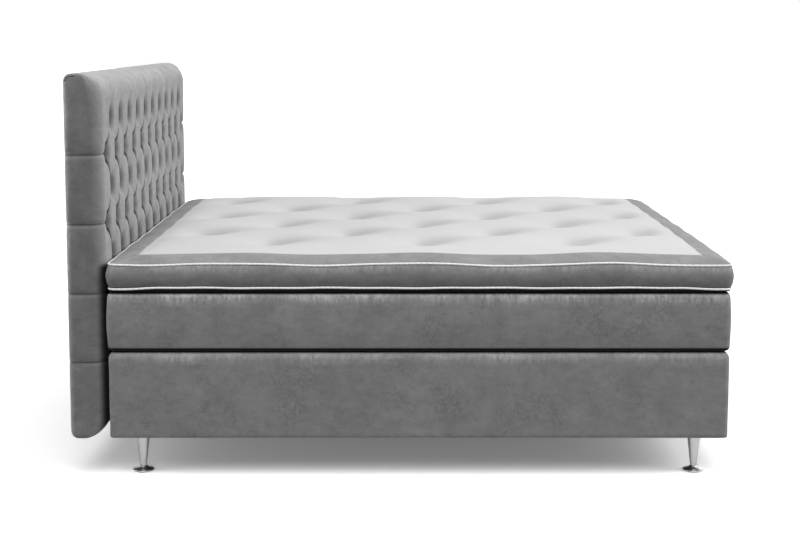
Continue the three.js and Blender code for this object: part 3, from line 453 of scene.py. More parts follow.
def roundOutline(low, high, radius, section, walk, tight=1 * mm):
    # section is rows of (inset, height): each becomes a ring of the outline drawn in by the inset,
    # with corner radius r = max(radius - inset, tight)
    shares, normals = walk
    centre, half = (low[:2] + high[:2]) / 2, (high[:2] - low[:2]) / 2
    inset, height = section[:, 0][:, None, None], section[:, 1][:, None]
    r = np.maximum(radius - inset, tight)
    flat = centre + shares * (half - inset - r) + r * normals
    return np.concatenate([flat, np.broadcast_to(height[..., None], (*flat.shape[:2], 1))], axis=2)


def quarterRound(radius, steps):
    # (inset, rise) of a quarter circle from a side face in to a top face
    angle = np.linspace(0, np.pi / 2, steps + 1)
    return np.stack([radius * (1 - np.cos(angle)), radius * np.sin(angle)], axis=1)


# Base and mattress covers

covers = {"hemReach": 40 * mm, "topReach": 92 * mm, "cornerRadius": 20 * mm, "cloth": 2.5 * mm,
          "spacing": 22 * mm, "seamHeight": 5.5 * mm, "seamDepth": 1.2 * mm, "seamWide": 2.2 * mm,
          "seamLine": 1.6 * mm, "seamDark": 0.2, "seamLevels": [5, 6, 7, 8, 9, 11], "sideStart": 16,
          "looseLow": 30 * mm, "looseHigh": 12 * mm, "slack": 0.4 * mm, "pressed": 1.03,
          "highlightLow": 22 * mm, "highlightHigh": 4 * mm, "highlightTilt": (50, 70)}
# shade is from and to which tilt, in degrees, painted shade darkens an edge where it turns to its bearing
# face
baseCoverSizes = {"edge": 27 * mm, "bottom": 3.5 * mm, "bulge": 0, "shade": (46, 64), "under": 0,
                  "highlightGain": 0.85,
                  "waves": [(0.7 * mm, 2.1, 1.7, 1.4, 0.3), (0.5 * mm, 4.3, -3.9, 3.1, 1.9),
                            (0.35 * mm, 9.1, 7.3, -5.2, 4.0)]}
mattressCoverSizes = {"edge": 25 * mm, "bottom": 14 * mm, "bulge": 3.5 * mm, "shade": (30, 50), "under": 1,
                      "highlightGain": 1.75,
                      "waves": [(0.8 * mm, 1.7, 2.2, 2.9, 2.2), (0.5 * mm, 5.1, 4.4, -3.7, 0.7),
                                (0.35 * mm, 8.3, -7.9, 5.6, 3.1)]}


def coverSection(tall, edge, bottom):
    # hem turned under, round bottom edge, straight side, round top edge, strip on top
    hem = np.stack([np.linspace(covers["hemReach"], bottom, 5)[:-1], np.zeros(4)], axis=1)
    turn = np.linspace(0, np.pi / 2, 5)
    foot = bottom * np.stack([1 - np.sin(turn), 1 - np.cos(turn)], axis=1)
    rest = np.linspace(covers["sideStart"], (tall - edge) / mm - 2, 14)
    levels = np.concatenate([covers["seamLevels"], rest]) * mm
    levels = levels[levels > bottom + 0.1 * mm]
    side = np.stack([np.zeros(len(levels)), levels], axis=1)
    shoulder = quarterRound(edge, 12) + [0, tall - edge]
    strip = np.stack([np.linspace(edge, covers["topReach"], 6)[1:], np.full(5, tall)], axis=1)
    return np.concatenate([hem, foot, side, shoulder, strip])


def upholsteredBand(name, node, sizes):
    # the section carried round the outline, its side bulging by bulge * sin(pi * rise) and pushed
    # out by slow sines, with a groove at the hem seam
    low, high = boxOf(node)
    low, high = low + [sizes["bulge"], sizes["bulge"], 0], high - [sizes["bulge"], sizes["bulge"], 0]
    tall, edge, bottom = high[2] - low[2], sizes["edge"], sizes["bottom"]
    section = coverSection(tall, edge, bottom)
    inset, height = section.T
    rise = np.clip((height - bottom) / (tall - edge - bottom), 0, 1)
    belly = -sizes["bulge"] * np.sin(rise * np.pi)
    onSide = (inset < 0.01 * mm) & (height > bottom * 0.9)
    groove = covers["seamDepth"] * bell(height - covers["seamHeight"], covers["seamWide"])
    groove = np.where(onSide, groove, 0)
    moved = section + np.stack([belly + groove, np.full(len(section), low[2])], axis=1)
    walk = walkRound(high[0] - low[0], high[1] - low[1], covers["spacing"])
    points = roundOutline(low, high, covers["cornerRadius"], moved, walk)
    x, y, z = points[..., 0], points[..., 1], points[..., 2]
    loose = smoothStep(height, 0, covers["looseLow"]) * smoothStep(tall - height, 0, covers["looseHigh"])
    push = ripple(x, y, z, sizes["waves"]) * loose[:, None]
    push = np.minimum(push, sizes["bulge"] * 0.2 + covers["slack"])
    combed, pressed = coverShades(section, onSide, tall, sizes)
    combed = (combed[:, None] * patches(x, y)).ravel()
    rows, columns = push.shape
    points = points + np.concatenate([push[..., None] * walk[1], np.zeros((rows, columns, 1))], axis=2)
    piece = buildPiece(name, points, gridQuads(rows, columns, closeColumns=True).tolist(),
                       {"pressed": np.repeat(pressed, columns), "combed": combed})
    cloth = piece.modifiers.new("cloth", "SOLIDIFY")
    cloth.thickness = covers["cloth"]
    cloth.offset = -1
    return piece


def coverShades(section, onSide, tall, sizes):
    # Painted highlight under the upper edge, and painted shade: in the hem seam's groove, where the
    # edges turn to the bearing faces, on those faces and round the bottom edge of the mattress
    height, edge = section[:, 1], sizes["edge"]
    seam = np.where(onSide, bell(height - covers["seamHeight"], covers["seamLine"]), 0) * covers["seamDark"]
    tilt = np.degrees(np.arcsin(np.clip((height - (tall - edge)) / edge, 0, 1)))
    under = smoothStep(1 - height / sizes["bottom"], 0.05, 0.45) + 0.1 * smoothStep(-height, -0.1, 0)
    pressed = np.maximum(np.maximum(seam, under * sizes["under"]), smoothStep(tilt, *sizes["shade"]))
    combed = smoothStep(height, tall - edge - covers["highlightLow"], tall - edge + covers["highlightHigh"])
    combed = sizes["highlightGain"] * combed * (1 - smoothStep(tilt, *covers["highlightTilt"]))
    return combed, pressed * covers["pressed"]


baseCover = upholsteredBand("base_velvet", "base_cover", baseCoverSizes)
dress(baseCover, "base", velvet, ["base_cover"])
mattressCover = upholsteredBand("mattress_velvet", "mattress_cover", mattressCoverSizes)
dress(mattressCover, "mattress", velvet, ["mattress_cover"])
print("base and mattress covers made")


# Topper: velvet band between two pipings, velvet border, tufted white panel

topper = {"piping": 5 * mm, "corner": 24 * mm, "bottomPiping": 7.7 * mm, "topPiping": 87.7 * mm,
          "pipingRound": 3.4 * mm, "spacing": 12 * mm, "bulge": 9.5 * mm, "band": 4 * mm,
          "turnedUnder": [(4.8 * mm, 0.2 * mm), (2.4 * mm, 0.6 * mm), (1.6 * mm, 3 * mm)],
          "border": 84 * mm, "edgeHeight": 110.7 * mm, "borderCrown": 4 * mm, "borderUnder": 10 * mm,
          "mitreDepth": 0.7 * mm, "mitreWide": 3 * mm, "edgeSeam": 4 * mm, "seamDark": 0.25,
          "wave": 3.6 * mm, "endWaveShare": 0.35, "rimPitch": 595 * mm, "sideFrom": (550 * mm, 850 * mm),
          "lowLift": 4.5 * mm, "liftFrom": (40 * mm, 170 * mm),
          "rimWaves": [(0.9 * mm, 1.31, 0.77, 0, 0.4), (0.6 * mm, 3.7, 2.9, 0, 2.0)],
          "lowWaves": [(0.7 * mm, 2.1, 1.6, 0, 0.9), (0.5 * mm, 5.2, 4.4, 0, 2.6)],
          "bandWaves": [(0.8 * mm, 2.9, 2.3, 9.0, 0.5), (0.6 * mm, 6.7, 5.9, -8.0, 1.2),
                        (0.4 * mm, 13.0, 11.0, 6.0, 2.5)]}
topperLow, topperHigh = boxOf("topper_piping_bottom", "topper_piping_top")
topperLow[:2] += topper["piping"]
topperHigh[:2] -= topper["piping"]
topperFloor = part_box("topper_underside")[0].z
topperCentre = (topperLow + topperHigh) / 2
topperHalf = (topperHigh - topperLow) / 2
topperWalk = walkRound(topperHigh[0] - topperLow[0], topperHigh[1] - topperLow[1], topper["spacing"])


def topperWave(x, y):
    # the rim dips where the tuft rows pull: wave * cos(2 pi x / pitch), and slow sines on top
    across = np.cos(2 * np.pi * (x - topperCentre[0]) / topper["rimPitch"])
    along = np.cos(2 * np.pi * (y - topperCentre[1]) / panel["rowPitch"])
    nearSide = smoothStep(np.abs(y - topperCentre[1]), *topper["sideFrom"])
    wave = across * nearSide + topper["endWaveShare"] * along * (1 - nearSide)
    return topper["wave"] * wave + ripple(x, y, 0, topper["rimWaves"])


def lowLift(x, y):
    # the lower rim curls up by lowLift away from the corners, with slow sines on it
    toCorner = (np.minimum(topperHalf[0] - np.abs(x - topperCentre[0]), 1)
                + np.minimum(topperHalf[1] - np.abs(y - topperCentre[1]), 1))
    lift = topper["lowLift"] + ripple(x, y, 0, topper["lowWaves"])
    return lift * smoothStep(toCorner, *topper["liftFrom"])


def topperRing(section, waveShare):
    # waveShare is 1 at the top rim, which follows the tufts, and 0 at the lower rim
    points = roundOutline(topperLow, topperHigh, topper["corner"], section, topperWalk)
    wave = topperWave(points[..., 0], points[..., 1])
    low = lowLift(points[..., 0], points[..., 1])
    points[..., 2] += topperFloor + wave * waveShare[:, None] + low * (1 - waveShare[:, None])
    return points


def topperBand():
    # closed band: outside bulges by bulge * sin(pi rise)^0.8 between the pipings, inside is flat,
    # and below the low piping it turns under the rim, where the topper's underside holds it level
    low = topper["bottomPiping"] + topper["pipingRound"] * 0.6
    high = topper["topPiping"] - topper["pipingRound"] * 0.6
    rise = 0.5 - 0.5 * np.cos(np.linspace(0, np.pi, 17))
    swell = topper["bulge"] * np.sin(rise * np.pi) ** 0.8
    outer = np.stack([1 * mm - swell, low + rise * (high - low)], axis=1)
    inner = np.stack([np.full(5, topper["band"]), high + np.linspace(0, 1, 5) * (low - high)], axis=1)
    section = np.concatenate([topper["turnedUnder"], outer, inner])
    points = topperRing(section, np.clip((section[:, 1] - low) / (high - low), 0, 1))
    x, y, z = points[..., 0], points[..., 1], points[..., 2]
    level = topperFloor + section[:, 1, None]
    z[:] = level + (z - level) * smoothStep(section[:, 1], 1 * mm, low)[:, None]

    def ringValues(under, outside, inside=0):
        return np.concatenate([np.full(3, under), outside, np.full(5, inside)])[:, None] + 0 * x

    # painted shade: full under the rim, dark at the band's foot by the low piping and fading up it
    pressed = ringValues(1, np.maximum(smoothStep(-rise, -0.1, 0.02), 0.3 * (1 - rise) - 0.02))
    slack = ripple(x, y, z, topper["bandWaves"]) * ringValues(0, np.sin(rise * np.pi) ** 0.6)
    points[..., :2] += slack[..., None] * topperWalk[1]
    # painted highlight on the band's upper part, under the top piping
    combed = ringValues(0, smoothStep(rise, 0.55, 0.95)) * patches(x, y)
    return buildLoop("topper_band", points, {"pressed": pressed.ravel(), "combed": combed.ravel()})


def topperPiping(name, height, waveShare):
    # tube: piping radius * (cos, sin) round the outline
    angle = np.linspace(0, 2 * np.pi, 12, endpoint=False)
    section = topper["pipingRound"] * np.stack([np.cos(angle), np.sin(angle)], axis=1)
    section[:, 1] += height
    return buildLoop(name, topperRing(section, np.full(len(section), waveShare)))


def topperBorder():
    # closed band: slopes up from the top piping to the panel with a crown of sin(pi share)^0.7,
    # flat underneath, with mitred seams at the corners
    start = topper["pipingRound"] * 0.3
    low = topper["topPiping"] + topper["pipingRound"] * 0.6
    share = np.linspace(0, 1, 14)
    reach = topper["border"] + 1.5 * mm
    slope = low + share * (topper["edgeHeight"] - low)
    top = np.stack([start + share * (reach - start),
                    slope + topper["borderCrown"] * np.sin(share * np.pi) ** 0.7], axis=1)
    under = [(reach, topper["edgeHeight"] - topper["borderUnder"]), (start, low - 4 * mm)]
    section = np.concatenate([top, under])
    points = topperRing(section, np.ones(len(section)))
    toSide = topperHalf[:2] - np.abs(points[..., :2] - topperCentre[:2])
    seam = bell(toSide[..., 0] - toSide[..., 1], topper["mitreWide"])
    edgeSeam = np.concatenate([bell((1 - share) * reach, topper["edgeSeam"]), [0, 0]])
    points[..., 2] -= topper["mitreDepth"] * seam
    # painted shade in the mitred seams' grooves and along the seam at the panel's edge
    pressed = np.clip((seam + edgeSeam[:, None]) * topper["seamDark"], 0, 1)
    return buildLoop("topper_border_velvet", points, {"pressed": pressed.ravel()})


panel = {"rest": 92.5 * mm, "crown": 12 * mm, "crownReach": 150 * mm, "rows": 186, "columns": 164,
         "tuftPitch": 514 * mm, "rowPitch": 237 * mm, "tuftDepth": 27 * mm, "tuftHold": 11 * mm,
         "headReach": 62 * mm, "footReach": 105 * mm, "sideReach": 66 * mm, "slant": 0.25,
         "tuftRound": 0.16, "tuftFade": 110 * mm,
         "hollowOff": 40 * mm, "hollowLong": 92 * mm, "hollowWide": 66 * mm, "hollowSlant": 0.6,
         "hollowFrom": (-30 * mm, 20 * mm), "hollowEdge": (10 * mm, 90 * mm),
         "softPasses": 4, "fillCap": 9 * mm, "fillFade": 60 * mm,
         "waves": [(1.2 * mm, 2.3, 1.1, 0, 0.2), (0.9 * mm, -1.4, 3.6, 0, 1.1),
                   (0.6 * mm, 5.6, 4.7, 0, 2.3)]}
panelCloth = {"quality": 5, "mass": 0.3, "tension_stiffness": 15, "compression_stiffness": 15,
              "shear_stiffness": 5, "bending_stiffness": 0.5, "use_pressure": True,
              "uniform_pressure_force": 2, "shrink_min": -0.003}


def tuftPlaces():
    # rows along the bed, three tufts and four tufts by turns, as many as fit within the border
    places = []
    for row in range(6):
        steps = np.arange(-2, 3) + (0.5 if row % 2 else 0.0)
        steps = steps[np.abs(steps * panel["tuftPitch"]) < topperHalf[0] - topper["border"]]
        places += [(topperCentre[0] + step * panel["tuftPitch"],
                    topperCentre[1] + (row - 2.5) * panel["rowPitch"]) for step in steps]
    return places


def soften(values, passes):
    # each pass averages a point with its four neighbours: half itself, an eighth of each
    for _ in range(passes):
        wide = np.pad(values, 1, mode="edge")
        values = (wide[:-2, 1:-1] + wide[2:, 1:-1] + wide[1:-1, :-2] + wide[1:-1, 2:] + 4 * values) / 8
    return values


def settled(points, held):
    # cloth simulation of an open grid under the filling's pressure, fixed where held is true.
    # The cloth is cut a little large (shrink below 0), so that it pulls into folds between them
    rows, columns = points.shape[:2]
    sheet = buildPiece("settling_sheet", points, gridQuads(rows, columns).tolist(), weld=False)
    sheet.vertex_groups.new(name="held").add(np.nonzero(held.ravel())[0].tolist(), 1.0, "REPLACE")
    cloth = sheet.modifiers.new("cloth", "CLOTH")
    for label, value in panelCloth.items():
        setattr(cloth.settings, label, value)
    cloth.settings.effector_weights.gravity = 0
    cloth.settings.vertex_group_mass = "held"
    cloth.collision_settings.use_collision = False
    for step in range(1, 21):
        scene.frame_set(step)
    done = sheet.evaluated_get(bpy.context.evaluated_depsgraph_get())
    places = np.zeros(rows * columns * 3)
    done.data.vertices.foreach_get("co", places)
    bpy.data.objects.remove(sheet)
    scene.frame_set(1)
    return places.reshape(points.shape)


def tuftedPanel():
    # starting height: a sine crown from the border in, less depth * exp(-r) at each tuft, where r
    # is the distance over a reach that is longer towards the foot and slants with it. The
    # simulation then fills the panel out between the tufts and the border, and its rise dz is
    # eased to cap * tanh(dz / cap)
    inset = topper["border"] - 2 * mm
    low, high = topperLow[:2] + inset, topperHigh[:2] - inset
    x, y, toEdge = sheetGrid(low, high, panel["rows"], panel["columns"])
    share = np.clip(toEdge / panel["crownReach"], 0, 1)
    z = topper["edgeHeight"] + panel["crown"] * np.sin(share * np.pi / 2)
    hollow = 0 * x
    held = toEdge < 1 * mm
    for tuftX, tuftY in tuftPlaces():
        along, away = x - tuftX, y - tuftY
        # painted shadow: a slanted oval of shade from each tuft towards the foot and the far side, for the
        # ticking's colour
        drawn = np.hypot((along - panel["hollowSlant"] * away - panel["hollowOff"]) / panel["hollowLong"],
                         (away - panel["hollowOff"]) / panel["hollowWide"])
        shade = smoothStep(along, *panel["hollowFrom"]) * smoothStep(toEdge, *panel["hollowEdge"])
        hollow = np.maximum(hollow, bell(drawn, 1) * shade)
        reach = np.where(along > 0, panel["footReach"], panel["headReach"])
        apart = np.hypot(along / reach, (away - panel["slant"] * along) / panel["sideReach"])
        r = np.hypot(apart, panel["tuftRound"]) - panel["tuftRound"]
        z -= panel["tuftDepth"] * np.exp(-r) * smoothStep(toEdge, 0, panel["tuftFade"])
        held |= np.hypot(along, away) < panel["tuftHold"]
    z += ripple(x, y, 0, panel["waves"]) * share
    z += topperWave(x, y) * (1 - 0.5 * share) + topperFloor
    top = np.stack([x, y, z], axis=-1)
    rise = soften(settled(top, held)[..., 2] - z, panel["softPasses"])
    rise = panel["fillCap"] * np.tanh(rise / panel["fillCap"])
    top[..., 2] += rise * smoothStep(toEdge, 0, panel["fillFade"])
    bottom = top.copy()
    bottom[..., 2] = topperFloor + panel["rest"]
    return buildPiece("topper_white_panel", np.stack([top, bottom]), slabFaces(*x.shape),
                      {"hollow": np.tile(hollow.ravel(), 2)})


dress(topperBand(), "topper", topperVelvet, ["topper_side_band"])
dress(topperBorder(), "topper", topperVelvet, ["topper_border"])
dress(tuftedPanel(), "topper", ticking, ["topper_panel"])
lowPiping = topperPiping("topper_low_piping", topper["bottomPiping"], 0.0)
dress(lowPiping, "topper", piping, ["topper_piping_bottom"])
highPiping = topperPiping("topper_high_piping", topper["topPiping"], 1.0)
dress(highPiping, "topper", piping, ["topper_piping_top"])
print("topper made")


# Headboard: a padded slab, deep buttoned on the front and round its edges, with pleated ends

board = {"columnPitch": 80 * mm, "rowPitch": 111.5 * mm, "rows": 9, "firstRow": 138 * mm, "lastColumn": 10,
         "frontRound": 75 * mm, "backRound": 28 * mm, "endReach": 54 * mm, "endWide": 46 * mm,
         "capReach": 7 * mm, "backEase": 16 * mm, "easeFrom": 60 * mm, "easeTo": 15 * mm,
         "foldDeep": 8 * mm, "foldShallow": 2.5 * mm, "foldOver": 0.35, "sharpness": 0.36,
         "pleatRun": 130 * mm, "slit": 8 * mm, "slitWide": 3.6 * mm, "fadeEnd": 30 * mm, "fadeUp": 22 * mm,
         "dimple": 35 * mm, "dimpleWide": 21 * mm, "dimpleTall": 29 * mm, "depthFrom": (2 * mm, 60 * mm),
         "topRipple": 0.9 * mm, "rippleFade": (60 * mm, 225 * mm),
         "endPleat": 5 * mm, "endPleatWide": 14 * mm, "belly": 10 * mm, "endKeepShare": 0.06,
         "steps": 16, "foldInset": 9 * mm, "recess": 2.15 * mm, "hem": 10.5 * mm, "faceMark": 40 * mm,
         "button": 11 * mm, "buttonHeight": 7 * mm, "buttonSeat": 3 * mm, "buttonOut": 1 * mm}
boardLow, boardHigh = boxOf("headboard_cover")
cavityLow, cavityHigh = boxOf("headboard_frame", "headboard_board", "headboard_foam")
boardThick, boardTall = boardHigh[0] - boardLow[0], boardHigh[2] - boardLow[2]
boardHalf = (boardHigh[1] - boardLow[1]) / 2
boardMiddle = (boardHigh[1] + boardLow[1]) / 2
fieldHalf = board["lastColumn"] * board["columnPitch"]
fieldTop = board["firstRow"] + (board["rows"] - 1) * board["rowPitch"]


def tuftSpace(across, up):
    # places on the button grid: a = (column + 1 + row) / 2 and b = (column + 1 - row) / 2.
    # Pleats run where a or b is a whole number, and buttons sit where both are
    column = np.clip(across / board["columnPitch"], -board["lastColumn"], board["lastColumn"])
    row = np.clip((up - board["firstRow"]) / board["rowPitch"], 0, board["rows"] - 1)
    return (column + 1 + row) / 2, (column + 1 - row) / 2


def fromButton(across, up, past=0):
    # distances from the nearest button. past counts columns on beyond the outer ones
    row = np.clip(np.round((up - board["firstRow"]) / board["rowPitch"]), 0, board["rows"] - 1)
    odd = (row + 1) % 2
    limit = board["lastColumn"] - odd + past
    column = np.clip(2 * np.round((across / board["columnPitch"] - odd) / 2) + odd, -limit, limit)
    return across - column * board["columnPitch"], up - board["firstRow"] - row * board["rowPitch"]


def outUpward(up):
    # distance above or below the rows of buttons
    return np.maximum(np.maximum(up - fieldTop, board["firstRow"] - up), 0)


def fieldFade(across, up):
    # 1 inside the outer buttons, then exp(-(distance / reach)^2) to the ends and up or down
    outEnd = np.maximum(np.abs(across) - fieldHalf, 0)
    return bell(outEnd, board["fadeEnd"]), bell(outUpward(up), board["fadeUp"])


def endRow(up):
    # the nearest row whose pleat runs on round the ends: rows 1, 3, 5 and 7
    row = (up - board["firstRow"]) / board["rowPitch"]
    return np.clip(2 * np.round((row - 1) / 2) + 1, 1, board["rows"] - 2)


def fromEndRow(up):
    # height over that row
    return up - board["firstRow"] - endRow(up) * board["rowPitch"]


def endGroove(up):
    # endPleat * exp(-distance / width) at the rows that run on round the ends, and half a slit
    away = np.abs(fromEndRow(up))
    return (board["endPleat"] * np.exp(-away / board["endPleatWide"])
            + 0.5 * board["slit"] * bell(away, board["slitWide"]))


def tuftDepth(across, up):
    # pleats: hypot of fold * (1 - |sin pi a|^sharpness) and the same of b, with a narrow slit in
    # each. A pleat is a deep fold over half its run: those of a where sin(pi row) is above 0 and
    # those of b where it is below. Buttons: dimple * exp(-(dy / wide)^2 - (dz / tall)^2). All
    # fade outside the field
    a, b = tuftSpace(across, up)
    turn = np.sin(np.pi * (a - b))
    valleys, lines = [], []
    for place, way in ((a, turn), (b, -turn)):
        over = smoothStep(way, 0, board["foldOver"])
        fold = board["foldShallow"] + (board["foldDeep"] - board["foldShallow"]) * over
        valleys.append((1 - np.abs(np.sin(np.pi * place)) ** board["sharpness"]) * fold)
        lines.append(bell((place - np.round(place)) * board["pleatRun"], board["slitWide"]) * over)
    endFade, upFade = fieldFade(across, up)
    pleats = (np.hypot(*valleys) + board["slit"] * np.maximum(*lines)) * endFade * upFade
    ripples = board["topRipple"] * (0.5 - 0.5 * np.cos(np.pi * across / board["columnPitch"])) ** 2
    ripples *= (1 - upFade) * endFade * (1 - smoothStep(outUpward(up), *board["rippleFade"]))
    awayY, awayZ = fromButton(across, up)
    dimples = board["dimple"] * bell(awayY, board["dimpleWide"]) * bell(awayZ, board["dimpleTall"])
    return pleats + ripples + dimples + endGroove(up) * (1 - endFade)


def sectionPath():
    # back edge, flat bottom, round front edge, straight front, and the same at the top:
    # rows of (x, z, outward normal x, outward normal z), with the straight rows on the button rows
    front, back = board["frontRound"], board["backRound"]
    turn = np.linspace(0, np.pi / 2, 7)
    backArc = np.stack([back * (1 - np.cos(turn)), back * (1 - np.sin(turn)),
                        -np.cos(turn), -np.sin(turn)], axis=1)
    flatX = np.linspace(back, boardThick - front, 4)[1:-1]
    flat = np.stack([flatX, 0 * flatX, 0 * flatX, 0 * flatX - 1], axis=1)
    turn = np.linspace(0, np.pi / 2, 15)
    frontArc = np.stack([boardThick - front + front * np.sin(turn), front * (1 - np.cos(turn)),
                         np.sin(turn), -np.cos(turn)], axis=1)
    step = board["rowPitch"] / board["steps"]
    first = board["firstRow"] - np.floor((board["firstRow"] - front) / step) * step
    levels = np.arange(first, boardTall - front - step * 0.3, step)
    straight = np.stack([0 * levels + boardThick, levels, 0 * levels + 1, 0 * levels], axis=1)
    lower = np.concatenate([backArc, flat, frontArc])
    upper = lower[::-1] * [1, -1, 1, -1] + [0, boardTall, 0, 0]
    return np.concatenate([lower, straight, upper]), len(backArc) + len(flat)


def acrossPath():
    # distances across: even steps between the buttons, then the round end by its angle. Each has
    # its place, how far the round has turned (1 - cos) and its length along the cloth
    step = board["columnPitch"] / board["steps"]
    flatHalf = boardHalf - board["endWide"]
    inner = np.arange(0, flatHalf - step * 0.4, step)
    turn = np.linspace(0, np.pi / 2, 14)
    place = np.concatenate([inner, flatHalf + board["endWide"] * np.sin(turn)])
    inward = np.concatenate([0 * inner, 1 - np.cos(turn)])
    cloth = np.concatenate([inner, flatHalf + board["endWide"] * turn])
    return (np.concatenate([-place[:0:-1], place]), np.concatenate([inward[:0:-1], inward]),
            np.concatenate([-cloth[:0:-1], cloth]))


def headboardSurface():
    # the section carried across: at the ends it draws in along its own normal, far at the front
    # and little elsewhere, and the tufts push in along the surface's normal
    section, sideRows = sectionPath()
    place, inward, cloth = acrossPath()
    facing = smoothStep(section[:, 2], 0.05, 0.95)
    reach = board["capReach"] + (board["endReach"] - board["capReach"]) * facing
    wide = board["capReach"] + (board["endWide"] - board["capReach"]) * facing
    draw = reach[:, None] * inward[None, :]
    edge = (np.abs(place) - (boardHalf - board["endWide"])) / board["endWide"]
    y = np.sign(place) * np.where(edge > 0, boardHalf - wide[:, None] * (1 - edge), np.abs(place))
    points = np.stack([section[:, 0, None] - draw * section[:, 2, None], y,
                       section[:, 1, None] - draw * section[:, 3, None]], axis=-1)
    along = np.cumsum(np.r_[0, np.hypot(np.diff(section[:, 0]), np.diff(section[:, 1]))])
    middle = np.argmin(np.abs(section[:, 1] - boardTall / 2))
    up = along - along[middle] + section[middle, 1]
    up, across = np.meshgrid(up, cloth, indexing="ij")
    normal = np.cross(np.gradient(points, axis=1), np.gradient(points, axis=0))
    normal /= np.maximum(np.linalg.norm(normal, axis=-1, keepdims=True), 1e-12)
    depth = tuftDepth(across, up) * smoothStep(section[:, 0], *board["depthFrom"])[:, None]
    return points - normal * depth[..., None], across, up, sideRows


def foldedQuads(across, up):
    # each cell of the wrap is cut along the pleat that it lies by, so that the folds stay crisp
    quads = gridQuads(*across.shape)
    a, b = tuftSpace(across.ravel()[quads].mean(axis=1), up.ravel()[quads].mean(axis=1))
    nearA = np.abs(a - np.round(a)) < np.abs(b - np.round(b))
    down = quads[:, [[0, 1, 3], [1, 2, 3]]]
    rise = quads[:, [[0, 1, 2], [0, 2, 3]]]
    return np.where(nearA[:, None, None], down, rise).reshape(-1, 3)


def coons(left, right, bottom, top):
    # blends four boundary curves: (1-v) bottom + v top + (1-u) left + u right - the bilinear corners
    v = np.linspace(0, 1, len(left))[:, None, None]
    u = np.linspace(0, 1, len(bottom))[None, :, None]
    corners = ((1 - u) * (1 - v) * left[0] + u * (1 - v) * right[0]
               + (1 - u) * v * left[-1] + u * v * right[-1])
    return ((1 - u) * left[:, None] + u * right[:, None]
            + (1 - v) * bottom[None] + v * top[None] - corners)


def endFace(edge, side, sideRows):
    # a patch between the wrap's edge and the back, with a belly of sin(pi u) * sin(pi v)^0.3
    # times sin(pi / 2 * distance / row pitch) from the nearest end pleat
    left = edge[sideRows:len(edge) - sideRows]
    bottom, top = edge[sideRows::-1], edge[len(edge) - sideRows - 1:]
    v = np.linspace(0, 1, len(left))
    u = np.linspace(0, 1, len(bottom))
    rise = (left[:, 2] - left[0, 2]) / (left[-1, 2] - left[0, 2])
    high = bottom[-1, 2] + rise * (top[-1, 2] - bottom[-1, 2])
    keep = smoothStep(v, 0, board["endKeepShare"]) * smoothStep(1 - v, 0, board["endKeepShare"])
    right = np.stack([0 * high, side * (boardHalf - endGroove(high) * keep), high], axis=1)
    right[0], right[-1] = bottom[-1], top[-1]
    face = coons(left, right, bottom, top)
    belly = board["belly"] * np.sin(np.pi * u)[None, :] * np.sin(np.pi * v)[:, None] ** 0.3
    away = np.abs(fromEndRow(face[..., 2]))
    face[..., 1] += side * belly * np.sin(np.pi / 2 * np.clip(away / board["rowPitch"], 0, 1))
    face[:, 0], face[:, -1], face[0], face[-1] = left, right, bottom, top
    return face


def backRings(loop):
    # the cover turned over the back edge: a hem, a shallow recess for the back cloth, and the
    # hollow that the frame and the padding fill. Each ring is the loop clipped to a rectangle
    hollow = np.array([[cavityLow[1], cavityHigh[1]], [cavityLow[2], cavityHigh[2]]])
    hollow -= np.array([[boardMiddle], [boardLow[2]]])
    hollow += np.array([-0.2 * mm, 0.2 * mm])
    opening = hollow + np.array([board["hem"], -board["hem"]])
    flatLoop = np.stack([np.clip(loop[:, 1], *opening[0]), np.clip(loop[:, 2], *opening[1])], axis=1)
    middle, half = opening.mean(axis=1), (opening[:, 1] - opening[:, 0]) / 2
    wideLoop = middle + (flatLoop - middle) * (hollow[:, 1] - hollow[:, 0]) / 2 / half
    deep = cavityHigh[0] - boardLow[0] + 0.3 * mm
    rings = [(0, flatLoop), (board["recess"], flatLoop), (board["recess"], wideLoop), (deep, wideLoop)]
    return np.concatenate([np.column_stack([np.full(len(ring), x), ring]) for x, ring in rings])


def headboardCover():
    # the wrap, an end face at each side and the back rings, as points, faces and places on the
    # cloth (across and up)
    wrap, across, up, sideRows = headboardSurface()
    rows, columns = wrap.shape[:2]
    start = rows * columns
    index = np.arange(start).reshape(rows, columns)
    offSide = boardHalf + board["faceMark"]
    parts, faces = [wrap.reshape(-1, 3)], foldedQuads(across, up).tolist()
    acrossAll, upAll, ends = [across.ravel()], [up.ravel()], []
    for column, side in ((0, -1), (columns - 1, 1)):
        face = endFace(wrap[:, column], side, sideRows)
        size = face[..., 0].size
        parts.append(face.reshape(-1, 3))
        faces += gridQuads(*face.shape[:2], start=start).tolist()
        ends.append(start + np.arange(size).reshape(face.shape[:2]))
        acrossAll.append(np.full(size, side * offSide))
        upAll.append(face[..., 2].ravel())
        start += size
    points = np.concatenate(parts)
    # towards the back face the ends draw in: ease - sqrt(ease^2 - (ease - x)^2)
    ease = board["backEase"]
    pull = ease - np.sqrt(np.maximum(ease ** 2 - np.maximum(ease - points[:, 0], 0) ** 2, 0))
    nearEnd = smoothStep(np.abs(points[:, 1]), boardHalf - board["easeFrom"], boardHalf - board["easeTo"])
    points[:, 1] -= np.sign(points[:, 1]) * pull * nearEnd
    loop = np.concatenate([index[0], ends[1][1:-1, -1], index[-1, ::-1], ends[0][-2:0:-1, -1]])
    rings = backRings(points[loop])
    count = len(loop)
    allRings = np.concatenate([loop, start + np.arange(4 * count)])
    faces += allRings[gridQuads(5, count, closeColumns=True)].tolist()
    faces.append(allRings[4 * count:].tolist())
    acrossAll.append(np.full(len(rings), offSide))
    upAll.append(rings[:, 2])
    return np.concatenate([points, rings]), faces, np.concatenate(acrossAll), np.concatenate(upAll)


